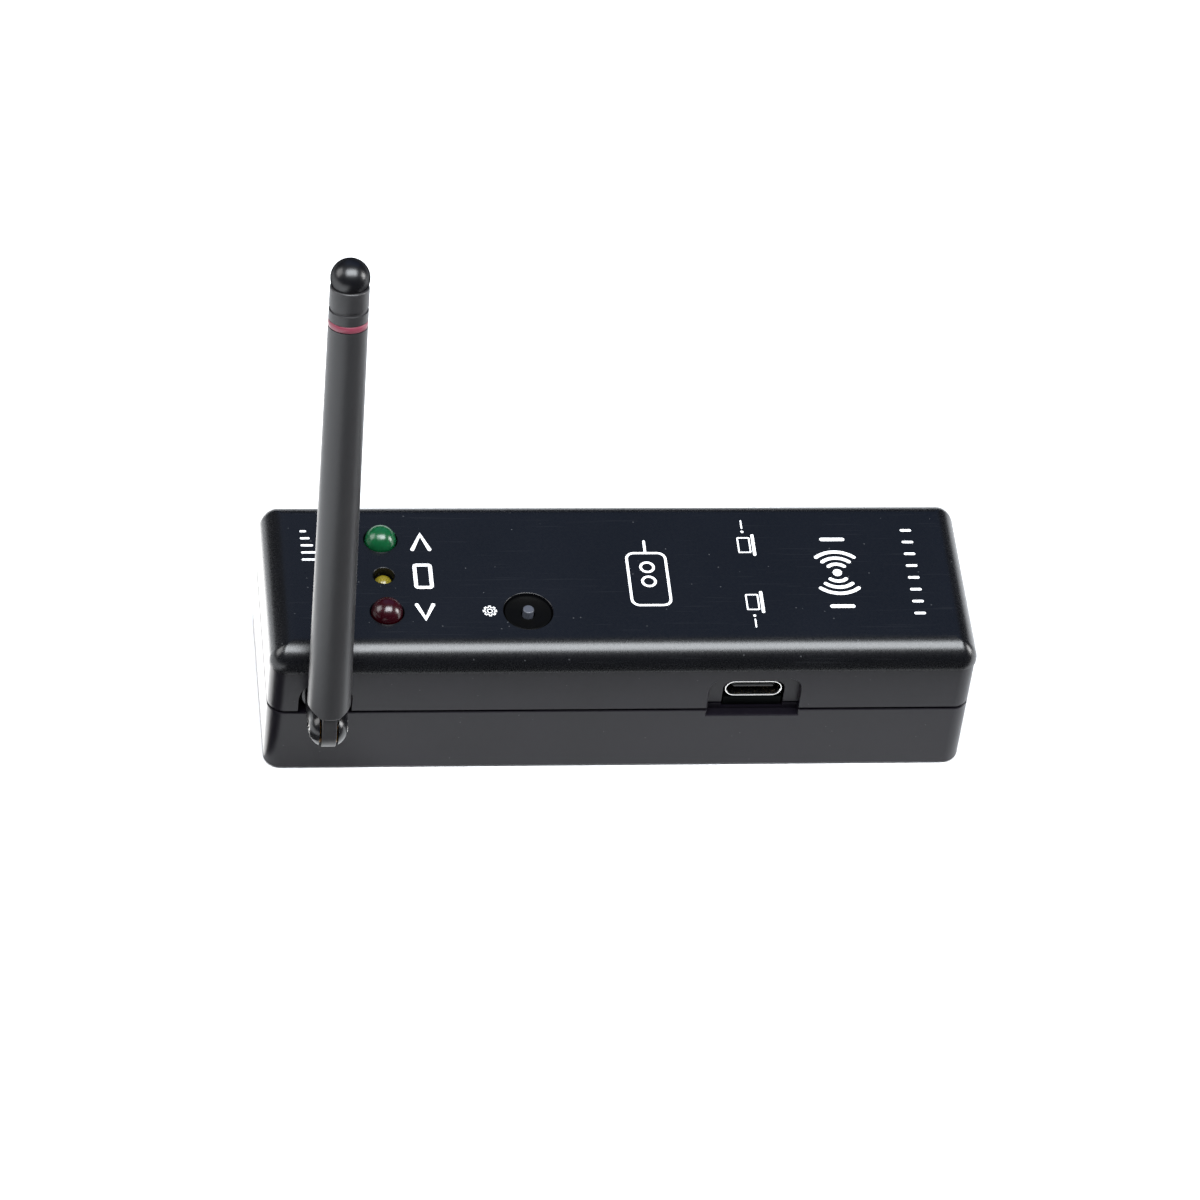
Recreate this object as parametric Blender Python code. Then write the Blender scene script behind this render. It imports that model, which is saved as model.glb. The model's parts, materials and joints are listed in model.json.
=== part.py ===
"""Desktop receiver for a wireless slide-advance handset.

A long two-shell plastic case stands on its flat base.  Three lamps and one settings
button show through its top, a USB-C socket opens in its front and back walls, and a
stub antenna on a fork hinge leaves the front wall at the left.  Inside are the
circuit board, its radio, the button's switch and the screws that hold it together.

Metres, +Z up.  The origin is the centre of the base, +X runs along the case to the
right and -Y is the front wall.
"""

import math

import bmesh
import bpy
from mathutils import Matrix, Vector

# Case
CASE_LENGTH = 0.1085
CASE_WIDTH = 0.0333
CASE_HEIGHT = 0.0255
PARTING_HEIGHT = 0.0127
PARTING_GAP = 0.0003
WALL = 0.0022
TOP_THICKNESS = 0.0024
BASE_THICKNESS = 0.0022
CORNER_RADIUS = 0.0028
TOP_RADIUS = 0.0040
BASE_RADIUS = 0.0006
RIM_STEP = 0.0002
LIP_HEIGHT = 0.0015
LIP_THICKNESS = 0.0010
LIP_ROOT = 0.0020
LEAST_CORNER = 0.0002
FIT_GAP = 0.0003
SEAT_GAP = 0.0002

# Board and what is on it
BOARD_THICKNESS = 0.0016
BOARD_RISE = 0.0010
BOARD_EDGE_GAP = 0.0004
BOARD_CORNER = 0.0010
NOTCH_MOUTH = 0.8
LEAD_SIZE = 0.0005
LEAD_PITCH = 0.00254
SHIELD_SIZE = (0.0140, 0.0120, 0.0020)
SHIELD_INSET = 0.02975
SHIELD_Y = 0.0035
CHIP_SIZE = (0.0070, 0.0070, 0.0010)
CHIP_PLACE = (0.0040, -0.0010)
CRYSTAL_SIZE = (0.0032, 0.0025, 0.0008)
CRYSTAL_PLACE = (0.0115, 0.0025)

# Lamps in a row across the case: the two large ones stand proud, the small one is sunk
LAMP_INSET = 0.01815
LAMP_Y = 0.0076
LARGE_LAMP_BODY = 0.0086
SMALL_LAMP_BODY = 0.0052
LAMP_FLANGE = 0.0005
LAMP_FLANGE_HEIGHT = 0.0010
LARGE_LAMP_RADIUS = 0.0024
SMALL_LAMP_RADIUS = 0.00145
LARGE_LAMP_RISE = 0.0022
SMALL_LAMP_SINK = 0.0006

# Settings button
BUTTON_END_INSET = 0.03965
BUTTON_WALL_INSET = 0.00905
BUTTON_RADIUS = 0.0036
BUTTON_SINK = 0.0003
BUTTON_DISH = 0.0004
BUTTON_FLANGE = 0.0009
BUTTON_TRAVEL = 0.0003
BUTTON_PIN_RADIUS = 0.00085
BUTTON_PIN_RISE = 0.0005
BUTTON_STEM_RADIUS = 0.0016
BUTTON_STEM_SHARE = 0.3
SWITCH_WIDTH = 0.0060
SWITCH_SHARE = 0.4375
SWITCH_CORNER = 0.0005
PLUNGER_RADIUS = 0.0017

# USB-C sockets, one in each long wall
SOCKET_INSET = 0.03395
SOCKET_WIDTH = 0.00894
SOCKET_HEIGHT = 0.00326
SOCKET_DEPTH = 0.0073
SOCKET_SHEET = 0.0003
BLADE_WIDTH = 0.00669
BLADE_THICKNESS = 0.0007
BLADE_SETBACK = 0.0006
BLADE_CORNER = 0.0003
POCKET_WIDTH = 0.0142
POCKET_RISE = 0.00407
POCKET_DROP = 0.00413
POCKET_DEPTH = 0.0015
POCKET_RADIUS = 0.0028

# Screws: head radius, head height, shank radius; shape numbers are shares of those
CASE_SCREW = (0.0021, 0.0014, 0.0010)
CASE_SCREW_LENGTH = 0.0170
CASE_SCREW_RECESS = 0.0006
BOSS_RADIUS = 0.0030
BOARD_SCREW = (0.0018, 0.0011, 0.0009)
LEFT_SCREW_INSETS = (0.02725, 0.00765)
RIGHT_SCREW_INSETS = (0.02025, 0.00815)
BOARD_SCREW_LENGTH = 0.0065
POST_RADIUS = 0.0023
THREAD_GAP = 0.00015
THREAD_ROOM = 0.0030
HEAD_CROWN = (0.75, 0.35)
SCREW_POINT = 0.4
RECESS_ARM = 0.55
RECESS_HALF = 0.12
RECESS_DEPTH = 0.5

# Antenna
ANTENNA_INSET = 0.00885
ANTENNA_RISE = 0.0028
HINGE_REACH = 0.0054
HINGE_PIN_RADIUS = 0.0010
HINGE_GAP = 0.0001
HINGE_WASHER = 0.00015
HINGE_WASHER_RADIUS = 0.0022
EAR_RADIUS = 0.0029
FORK_RADIUS = 0.0031
NECK_HALF = 0.0018
TONGUE_THICKNESS = 0.0022
LEAN_GAP = 0.00034
BARREL_RADIUS = 0.0038
BARREL_SINK = 0.0012
BARREL_GROOVE = 0.0010
BARREL_TAIL = 0.0016
CLIP_THICKNESS = 0.0008
CLIP_REACH = 0.0008
CLIP_MOUTH = 0.7
CABLE_RADIUS = 0.00065
SLEEVE_BASE_RADIUS = 0.0033
SLEEVE_TIP_RADIUS = 0.0029
SLEEVE_EDGE = 0.0003
SLEEVE_BORE = 0.0012
SLEEVE_BORE_START = 0.0060
SLEEVE_TOP = 0.0762
TIP_CENTRE_RISE = 0.0013
RING_DROP = 0.0054
RING_HEIGHT = 0.0010
RING_THICKNESS = 0.0004
GROOVE_DROP = 0.00315
GROOVE_HEIGHT = 0.0006
GROOVE_DEPTH = 0.00025
RADIATOR_RADIUS = 0.0006
PLUG_OFFSET = 0.0059
PLUG_Y = -0.0030
PLUG_RADIUS = 0.0014
PLUG_HEIGHT = 0.0014

# Everything along the case is placed from its nearer end or wall, everything on the board
# from the parting plane, and the antenna leans until its sleeve nears the cover's edge.
HALF_LENGTH = CASE_LENGTH / 2
HALF_WIDTH = CASE_WIDTH / 2
RIM_HEIGHT = CASE_HEIGHT - TOP_RADIUS
CEILING = CASE_HEIGHT - TOP_THICKNESS
BOARD_TOP = PARTING_HEIGHT + BOARD_RISE
BOARD_BOTTOM = BOARD_TOP - BOARD_THICKNESS
INNER_INSET = RIM_STEP + WALL
LIP_OUTER = INNER_INSET + FIT_GAP
LIP_INNER = LIP_OUTER + LIP_THICKNESS
BOARD_INSET = LIP_INNER + BOARD_EDGE_GAP
CASE_SCREW_INSET = LIP_INNER + BOSS_RADIUS + FIT_GAP
CASE_SCREW_X = HALF_LENGTH - CASE_SCREW_INSET
LAMP_X = LAMP_INSET - HALF_LENGTH
SHIELD_PLACE = (SHIELD_INSET - HALF_LENGTH, SHIELD_Y)
BUTTON_PLACE = (BUTTON_END_INSET - HALF_LENGTH, BUTTON_WALL_INSET - HALF_WIDTH)
BOARD_SCREW_PLACES = {
    "board_screw_left": (LEFT_SCREW_INSETS[0] - HALF_LENGTH, LEFT_SCREW_INSETS[1] - HALF_WIDTH),
    "board_screw_right": (HALF_LENGTH - RIGHT_SCREW_INSETS[0], HALF_WIDTH - RIGHT_SCREW_INSETS[1]),
}
SOCKET_X = HALF_LENGTH - SOCKET_INSET
SOCKET_Z = BOARD_TOP + SEAT_GAP + SOCKET_HEIGHT / 2
ARCH_RADIUS = BARREL_RADIUS + FIT_GAP
CLIP_RADIUS = BARREL_RADIUS + CLIP_REACH
CLIP_ROOM = CLIP_RADIUS + FIT_GAP
ANTENNA_X = ANTENNA_INSET - HALF_LENGTH
ANTENNA_HEIGHT = PARTING_HEIGHT + ANTENNA_RISE
PLUG_PLACE = (ANTENNA_X + PLUG_OFFSET, PLUG_Y)
EDGE_REACH = HINGE_REACH + TOP_RADIUS
EDGE_RISE = RIM_HEIGHT - ANTENNA_HEIGHT
EDGE_CLEAR = TOP_RADIUS + SLEEVE_BASE_RADIUS + LEAN_GAP
LEAN = math.acos(EDGE_CLEAR / math.hypot(EDGE_REACH, EDGE_RISE)) - math.atan2(EDGE_RISE, EDGE_REACH)
HEEL_RISE = (NECK_HALF + FIT_GAP + SLEEVE_BASE_RADIUS * math.sin(LEAN)) / math.cos(LEAN)
SLEEVE_START = max(EAR_RADIUS + FIT_GAP, HEEL_RISE)
HINGE = Vector((ANTENNA_X, -HALF_WIDTH - HINGE_REACH, ANTENNA_HEIGHT))
SLOT_HALF = TONGUE_THICKNESS / 2 + HINGE_WASHER + 2 * HINGE_GAP
TIP_CENTRE = SLEEVE_TOP + TIP_CENTRE_RISE
POLE_RADIUS = 0.0001
ROUND = 32


def clear_scene():
    """Remove whatever the file opened with."""
    for old in list(bpy.data.objects):
        bpy.data.objects.remove(old)


def material(name, colour, roughness, metallic=0.0):
    """A Principled material in one finish."""
    made = bpy.data.materials.new(name)
    made.use_nodes = True
    shader = made.node_tree.nodes["Principled BSDF"]
    shader.inputs["Base Color"].default_value = (*colour, 1.0)
    shader.inputs["Roughness"].default_value = roughness
    shader.inputs["Metallic"].default_value = metallic
    return made


def new_object(name, bm, finish, smooth_angle=35.0):
    """Put a finished bmesh into the scene as one named object."""
    bmesh.ops.remove_doubles(bm, verts=bm.verts, dist=1e-7)
    bmesh.ops.recalc_face_normals(bm, faces=bm.faces)
    mesh = bpy.data.meshes.new(name)
    bm.to_mesh(mesh)
    bm.free()
    mesh.shade_smooth()
    mesh.set_sharp_from_angle(angle=math.radians(smooth_angle))
    if finish:
        mesh.materials.append(finish)
    made = bpy.data.objects.new(name, mesh)
    bpy.context.scene.collection.objects.link(made)
    return made


def loft(bm, rings):
    """Skin equal rings of points in order and close both ends."""
    loops = [[bm.verts.new(point) for point in ring] for ring in rings]
    count = len(loops[0])
    for lower, upper in zip(loops, loops[1:]):
        for i in range(count):
            j = (i + 1) % count
            bm.faces.new((lower[i], lower[j], upper[j], upper[i]))
    bm.faces.new(loops[0])
    bm.faces.new(loops[-1])
    return bm


def rounded_ring(half_x, half_y, radius, z, steps=6):
    """A rounded rectangle at one height, anticlockwise."""
    points = []
    for corner, (sign_x, sign_y) in enumerate(((1, 1), (-1, 1), (-1, -1), (1, -1))):
        for step in range(steps + 1):
            angle = math.pi / 2 * (corner + step / steps)
            x = sign_x * (half_x - radius) + radius * math.cos(angle)
            y = sign_y * (half_y - radius) + radius * math.sin(angle)
            points.append(Vector((x, y, z)))
    return points


def case_ring(inset, z):
    """The case's outline, moved in by inset, at one height."""
    radius = max(CORNER_RADIUS - inset, LEAST_CORNER)
    return rounded_ring(HALF_LENGTH - inset, HALF_WIDTH - inset, radius, z)


def block(half_x, half_y, low, high, radius=0.0):
    """An upright block, with rounded upright edges if radius is given."""
    bm = bmesh.new()
    if radius:
        return loft(bm, [rounded_ring(half_x, half_y, radius, z) for z in (low, high)])
    corners = ((1, 1), (-1, 1), (-1, -1), (1, -1))
    return loft(bm, [[Vector((half_x * a, half_y * b, z)) for a, b in corners] for z in (low, high)])


def turned(profile, sides=ROUND):
    """Turn (radius, height) points about Z; the first and last points close it."""
    bm = bmesh.new()
    rings = []
    for radius, z in profile:
        angles = [2 * math.pi * i / sides for i in range(sides)]
        rings.append([Vector((radius * math.cos(a), radius * math.sin(a), z)) for a in angles])
    return loft(bm, rings)


def turned_ring(profile, sides=ROUND):
    """Turn a closed loop of (radius, height) points about Z, leaving the bore open."""
    bm = bmesh.new()
    loops = []
    for radius, z in profile:
        angles = [2 * math.pi * i / sides for i in range(sides)]
        loops.append([bm.verts.new((radius * math.cos(a), radius * math.sin(a), z)) for a in angles])
    for near, far in zip(loops, loops[1:] + loops[:1]):
        for i in range(sides):
            j = (i + 1) % sides
            bm.faces.new((near[i], near[j], far[j], far[i]))
    return bm


def tube_ring(outer, inner, low, high, sides=ROUND):
    """A washer or band about Z."""
    return turned_ring(((inner, low), (outer, low), (outer, high), (inner, high)), sides)


def prism_x(outline, half_width):
    """Carry a (y, z) outline across X."""
    bm = bmesh.new()
    return loft(bm, [[Vector((x, y, z)) for y, z in outline] for x in (-half_width, half_width)])


def moved(bm, place, turn=None):
    """Turn a bmesh about the origin and then move it."""
    if turn is not None:
        bmesh.ops.transform(bm, matrix=turn, verts=bm.verts)
    bmesh.ops.translate(bm, vec=Vector(place), verts=bm.verts)
    return bm


ALONG_Y = Matrix.Rotation(math.radians(-90), 4, "X")
ALONG_X = Matrix.Rotation(math.radians(90), 4, "Y")


def combine(target, bm, operation):
    """Add a Boolean modifier whose hidden tool is the given bmesh."""
    tool = new_object(target.name + "_" + operation.lower() + f"_{len(target.modifiers)}", bm, None)
    tool.hide_render = True
    tool.display_type = "WIRE"
    step = target.modifiers.new(operation.title(), "BOOLEAN")
    step.operation = operation
    step.solver = "EXACT"
    step.object = tool
    tool.parent = target
    return target


def cut(target, bm):
    """Take a shape out of an object."""
    return combine(target, bm, "DIFFERENCE")


def join(target, bm):
    """Grow an object by a shape that meets it."""
    return combine(target, bm, "UNION")


def rod(radius, low, high, sides=ROUND):
    """A plain upright rod."""
    return turned(((radius, low), (radius, high)), sides)


def pocket_outline(half_width, low, high, radius, steps=6):
    """A square-footed opening with round upper corners, as points (x, z)."""
    points = [(-half_width, low), (half_width, low)]
    for sign in (1, -1):
        for step in range(steps + 1):
            angle = math.pi / 2 * step / steps
            if sign < 0:
                angle = math.pi / 2 - angle
            x = half_width - radius + radius * math.cos(angle)
            points.append((sign * x, high - radius + radius * math.sin(angle)))
    return points


def prism_y(outline, near, far):
    """Carry an (x, z) outline along Y."""
    bm = bmesh.new()
    return loft(bm, [[Vector((x, y, z)) for x, z in outline] for y in (near, far)])


def lamp_places():
    """Name, radius, body length, (x, y) and tip height of each lamp."""
    large_tip = CASE_HEIGHT + LARGE_LAMP_RISE
    small_tip = CASE_HEIGHT - SMALL_LAMP_SINK
    return {
        "lamp_green": (LARGE_LAMP_RADIUS, LARGE_LAMP_BODY, (LAMP_X, LAMP_Y), large_tip),
        "lamp_amber": (SMALL_LAMP_RADIUS, SMALL_LAMP_BODY, (LAMP_X, 0.0), small_tip),
        "lamp_red": (LARGE_LAMP_RADIUS, LARGE_LAMP_BODY, (LAMP_X, -LAMP_Y), large_tip),
    }


def cut_wall_openings(shell, upper):
    """Open the two socket pockets and the antenna's arch in one shell."""
    half_pocket = POCKET_WIDTH / 2
    half_mouth = SOCKET_WIDTH / 2 + FIT_GAP
    mouth_top = SOCKET_Z + SOCKET_HEIGHT / 2 + FIT_GAP
    mouth_bottom = BOARD_BOTTOM - FIT_GAP
    for side in (-1, 1):
        wall = side * HALF_WIDTH
        pocket = pocket_outline(half_pocket, SOCKET_Z - POCKET_DROP, SOCKET_Z + POCKET_RISE, POCKET_RADIUS)
        cut(shell, moved(prism_y(pocket, side * FIT_GAP, -side * (POCKET_DEPTH + RIM_STEP)),
                         (SOCKET_X, wall, 0)))
        mouth = pocket_outline(half_mouth, mouth_bottom, mouth_top, SOCKET_HEIGHT / 2)
        cut(shell, moved(prism_y(mouth, side * FIT_GAP, -side * (LIP_INNER + SOCKET_DEPTH)),
                         (SOCKET_X, wall, 0)))
    front = (ANTENNA_X, -HALF_WIDTH - FIT_GAP, ANTENNA_HEIGHT)
    cut(shell, moved(rod(ARCH_RADIUS, 0, INNER_INSET + 2 * FIT_GAP, 48), front, ALONG_Y))
    inside = (ANTENNA_X, -HALF_WIDTH + INNER_INSET, ANTENNA_HEIGHT)
    room_depth = 3 * FIT_GAP + CLIP_THICKNESS + BARREL_TAIL
    cut(shell, moved(rod(CLIP_ROOM, 0, room_depth, 48), inside, ALONG_Y))
    if upper:
        depth = INNER_INSET + 2 * FIT_GAP
        arch = block(ARCH_RADIUS, depth / 2, PARTING_HEIGHT - PARTING_GAP, ANTENNA_HEIGHT)
        cut(shell, moved(arch, (ANTENNA_X, -HALF_WIDTH - FIT_GAP + depth / 2, 0)))


def make_top_shell(finish):
    """The upper shell: rounded cover, side walls and two screw posts."""
    low = PARTING_HEIGHT + PARTING_GAP / 2
    rings = [case_ring(INNER_INSET, CEILING), case_ring(INNER_INSET, low), case_ring(RIM_STEP, low),
             case_ring(RIM_STEP, RIM_HEIGHT), case_ring(0, RIM_HEIGHT)]
    steps = 6
    for step in range(1, steps + 1):
        angle = math.pi / 2 * step / steps
        inset = TOP_RADIUS * (1 - math.cos(angle))
        rings.append(case_ring(inset, RIM_HEIGHT + TOP_RADIUS * math.sin(angle)))
    shell = new_object("top_shell", loft(bmesh.new(), rings), finish)
    cut_wall_openings(shell, True)
    for radius, _, (x, y), _ in lamp_places().values():
        cut(shell, moved(rod(radius + SEAT_GAP, CEILING - FIT_GAP, CASE_HEIGHT + FIT_GAP), (x, y, 0)))
    hole = rod(BUTTON_RADIUS + SEAT_GAP, CEILING - FIT_GAP, CASE_HEIGHT + FIT_GAP)
    cut(shell, moved(hole, (*BUTTON_PLACE, 0)))
    for side in (-1, 1):
        post = rod(BOSS_RADIUS, BOARD_BOTTOM, CEILING + TOP_THICKNESS / 2, 24)
        join(shell, moved(post, (side * CASE_SCREW_X, 0, 0)))
        thread = rod(CASE_SCREW[2] + THREAD_GAP, BOARD_BOTTOM - FIT_GAP, CASE_SCREW_LENGTH + THREAD_ROOM, 24)
        cut(shell, moved(thread, (side * CASE_SCREW_X, 0, 0)))
    return shell


def make_bottom_shell(finish):
    """The lower shell: tray, locating lip, screw bosses and board posts."""
    high = PARTING_HEIGHT - PARTING_GAP / 2
    lip_top = PARTING_HEIGHT + LIP_HEIGHT
    root = high - LIP_ROOT
    rings = [case_ring(INNER_INSET, BASE_THICKNESS), case_ring(INNER_INSET, root - LIP_THICKNESS),
             case_ring(LIP_INNER, root), case_ring(LIP_INNER, lip_top), case_ring(LIP_OUTER, lip_top),
             case_ring(LIP_OUTER, high), case_ring(RIM_STEP, high)]
    steps = 3
    for step in range(steps + 1):
        angle = math.pi / 2 * step / steps
        inset = RIM_STEP + BASE_RADIUS * (1 - math.cos(angle))
        rings.append(case_ring(inset, BASE_RADIUS * (1 - math.sin(angle))))
    shell = new_object("bottom_shell", loft(bmesh.new(), rings), finish)
    head_radius, head_height, shank = CASE_SCREW
    boss_top = BOARD_BOTTOM - FIT_GAP
    for side in (-1, 1):
        place = (side * CASE_SCREW_X, 0, 0)
        join(shell, moved(rod(BOSS_RADIUS, BASE_THICKNESS / 2, boss_top, 24), place))
        cut(shell, moved(rod(shank + THREAD_GAP, -FIT_GAP, boss_top + FIT_GAP, 24), place))
        well = head_height + CASE_SCREW_RECESS + FIT_GAP
        cut(shell, moved(rod(head_radius + FIT_GAP, -FIT_GAP, well, 24), place))
    post_shank = BOARD_SCREW[2] + THREAD_GAP
    for x, y in BOARD_SCREW_PLACES.values():
        join(shell, moved(rod(POST_RADIUS, BASE_THICKNESS / 2, boss_top, 24), (x, y, 0)))
        hole = rod(post_shank, BOARD_TOP - BOARD_SCREW_LENGTH - FIT_GAP, BOARD_TOP, 24)
        cut(shell, moved(hole, (x, y, 0)))
    cut_wall_openings(shell, False)
    return shell


def make_board(finish):
    """The circuit board, notched for the screw posts and the antenna's barrel."""
    half_x = HALF_LENGTH - BOARD_INSET
    half_y = HALF_WIDTH - BOARD_INSET
    board = new_object("circuit_board", block(half_x, half_y, BOARD_BOTTOM, BOARD_TOP, BOARD_CORNER), finish)
    reach = HALF_WIDTH - RIM_STEP - POCKET_DEPTH - FIT_GAP
    tab = block(SOCKET_WIDTH / 2, reach, BOARD_BOTTOM, BOARD_TOP)
    join(board, moved(tab, (SOCKET_X, 0, 0)))
    low = BOARD_BOTTOM - FIT_GAP
    high = BOARD_TOP + FIT_GAP
    notch = BOSS_RADIUS + FIT_GAP
    for side in (-1, 1):
        cut(board, moved(rod(notch, low, high), (side * CASE_SCREW_X, 0, 0)))
        mouth = block(CASE_SCREW_INSET / 2, notch * NOTCH_MOUTH, low, high)
        cut(board, moved(mouth, (side * (CASE_SCREW_X + CASE_SCREW_INSET / 2), 0, 0)))
    room_x = CLIP_ROOM + FIT_GAP
    barrel_end = -HALF_WIDTH + INNER_INSET + FIT_GAP + CLIP_THICKNESS + BARREL_TAIL
    room = block(room_x, HALF_WIDTH + barrel_end + FIT_GAP, low, high)
    cut(board, moved(room, (ANTENNA_X, -HALF_WIDTH, 0)))
    for x, y in BOARD_SCREW_PLACES.values():
        cut(board, moved(rod(BOARD_SCREW[2] + SEAT_GAP, low, high, 24), (x, y, 0)))
    return board


def make_lamp(name, radius, body, place, tip, finish):
    """A round-nosed lamp with its flange and two leads to the board."""
    base = tip - body
    profile = [(radius + LAMP_FLANGE, base), (radius + LAMP_FLANGE, base + LAMP_FLANGE_HEIGHT),
               (radius, base + LAMP_FLANGE_HEIGHT)]
    steps = 8
    for step in range(steps):
        angle = math.pi / 2 * step / steps
        profile.append((radius * math.cos(angle), tip - radius + radius * math.sin(angle)))
    profile.append((POLE_RADIUS, tip))
    lamp = new_object(name, moved(turned(profile), (*place, 0)), finish)
    for side in (-1, 1):
        half = LEAD_SIZE / 2
        lead = block(half, half, BOARD_TOP + SEAT_GAP, base + LAMP_FLANGE_HEIGHT / 2)
        join(lamp, moved(lead, (place[0] + side * LEAD_PITCH / 2, place[1], 0)))
    return lamp


def make_button(cap_finish, pin_finish, switch_finish):
    """The settings button: dished cap with a skirt and stem, its pin and its switch."""
    top = CASE_HEIGHT - BUTTON_SINK
    under = CEILING - BUTTON_TRAVEL
    bottom = under - BUTTON_FLANGE
    seat = BOARD_TOP + SEAT_GAP
    stem_end = bottom - (bottom - seat) * BUTTON_STEM_SHARE
    switch_top = stem_end - BUTTON_TRAVEL - FIT_GAP
    body_top = seat + (bottom - seat) * SWITCH_SHARE
    bore = BUTTON_PIN_RADIUS + SEAT_GAP
    floor = top - BUTTON_DISH
    profile = [(bore, stem_end), (BUTTON_STEM_RADIUS, stem_end), (BUTTON_STEM_RADIUS, bottom),
               (BUTTON_RADIUS + BUTTON_FLANGE, bottom), (BUTTON_RADIUS + BUTTON_FLANGE, under),
               (BUTTON_RADIUS, under), (BUTTON_RADIUS, top - SEAT_GAP), (BUTTON_RADIUS - SEAT_GAP, top)]
    steps = 4
    rim = BUTTON_RADIUS - SEAT_GAP
    for step in range(1, steps + 1):
        radius = rim + (bore - rim) * step / steps
        share = 1 - ((radius - bore) / (rim - bore)) ** 2
        profile.append((radius, top + (floor - top) * share))
    place = (*BUTTON_PLACE, 0)
    new_object("settings_button", moved(turned_ring(profile), place), cap_finish)
    tip = CASE_HEIGHT + BUTTON_PIN_RISE
    edge = SEAT_GAP / 2
    pin = turned(((BUTTON_PIN_RADIUS, stem_end), (BUTTON_PIN_RADIUS, tip - edge),
                  (BUTTON_PIN_RADIUS - edge, tip)), 24)
    new_object("button_pin", moved(pin, place), pin_finish)
    body = block(SWITCH_WIDTH / 2, SWITCH_WIDTH / 2, seat, body_top, SWITCH_CORNER)
    switch = new_object("button_switch", moved(body, place), switch_finish)
    join(switch, moved(rod(PLUNGER_RADIUS, body_top - SEAT_GAP, switch_top, 24), place))


def oval_ring(half_x, half_z, y, steps=6):
    """A flat-sided oval in the X-Z plane, anticlockwise."""
    points = []
    for side, start in ((1, -math.pi / 2), (-1, math.pi / 2)):
        for step in range(steps + 1):
            angle = start + math.pi * step / steps
            x = side * (half_x - half_z) + half_z * math.cos(angle)
            points.append(Vector((x, y, half_z * math.sin(angle))))
    return points


def make_socket(side, label, metal, plastic):
    """One USB-C socket: drawn steel shell and the contact tongue inside it."""
    mouth = side * (HALF_WIDTH - RIM_STEP - POCKET_DEPTH - FIT_GAP)
    back = mouth - side * SOCKET_DEPTH
    half_x = SOCKET_WIDTH / 2
    half_z = SOCKET_HEIGHT / 2
    bm = bmesh.new()
    inner_x = half_x - SOCKET_SHEET
    inner_z = half_z - SOCKET_SHEET
    floor = back + side * SOCKET_SHEET
    rings = [oval_ring(inner_x, inner_z, floor), oval_ring(inner_x, inner_z, mouth),
             oval_ring(half_x, half_z, mouth), oval_ring(half_x, half_z, back)]
    place = (SOCKET_X, 0, SOCKET_Z)
    new_object(f"usb_{label}_shell", moved(loft(bm, rings), place), metal)
    lip = mouth - side * BLADE_SETBACK
    stop = floor + side * SEAT_GAP
    middle = (lip + stop) / 2
    thick = BLADE_THICKNESS / 2
    blade = block(BLADE_WIDTH / 2, abs(lip - stop) / 2, -thick, thick, BLADE_CORNER)
    tongue = new_object(f"usb_{label}_tongue", moved(blade, (SOCKET_X, middle, SOCKET_Z)), plastic)
    root_depth = SOCKET_DEPTH / 4
    root = loft(bmesh.new(), [oval_ring(inner_x - SEAT_GAP, inner_z - SEAT_GAP, y)
                              for y in (stop, stop + side * root_depth)])
    join(tongue, moved(root, place))


def make_board_parts(can, dark, steel):
    """The radio's shield, the processor and its crystal, all on the board."""
    seat = BOARD_TOP + SEAT_GAP
    for name, size, place, finish in (("radio_shield", SHIELD_SIZE, SHIELD_PLACE, can),
                                      ("processor", CHIP_SIZE, CHIP_PLACE, dark),
                                      ("crystal", CRYSTAL_SIZE, CRYSTAL_PLACE, steel)):
        body = block(size[0] / 2, size[1] / 2, seat, seat + size[2], min(size) / 3)
        new_object(name, moved(body, (*place, 0)), finish)


def make_screw(name, sizes, length, place, head_low, pointing, finish):
    """A pan-head screw with a cross recess; pointing is +1 up or -1 down."""
    head_radius, head_height, shank = sizes
    crown_radius, crown_height = HEAD_CROWN
    bm = turned(((head_radius * crown_radius, 0), (head_radius, head_height * crown_height),
                 (head_radius, head_height), (shank, head_height), (shank, length - shank),
                 (shank * SCREW_POINT, length)), 20)
    flip = Matrix.Rotation(math.pi, 4, "X") if pointing < 0 else None
    screw = new_object(name, moved(bm, (*place, head_low), flip), finish)
    arm = head_radius * RECESS_ARM
    slot = head_radius * RECESS_HALF
    for half_x, half_y in ((arm, slot), (slot, arm)):
        deep = block(half_x, half_y, -FIT_GAP, head_height * RECESS_DEPTH)
        cut(screw, moved(deep, (*place, head_low), flip))


def side_outline(back):
    """The fork seen from the side: round ears about the pin, flat neck to the wall."""
    start = math.asin(NECK_HALF / EAR_RADIUS)
    steps = 24
    points = [(back, NECK_HALF)]
    for step in range(steps + 1):
        angle = start + (2 * math.pi - 2 * start) * step / steps
        points.append((EAR_RADIUS * math.cos(angle), EAR_RADIUS * math.sin(angle)))
    points.append((back, -NECK_HALF))
    return points


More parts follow.
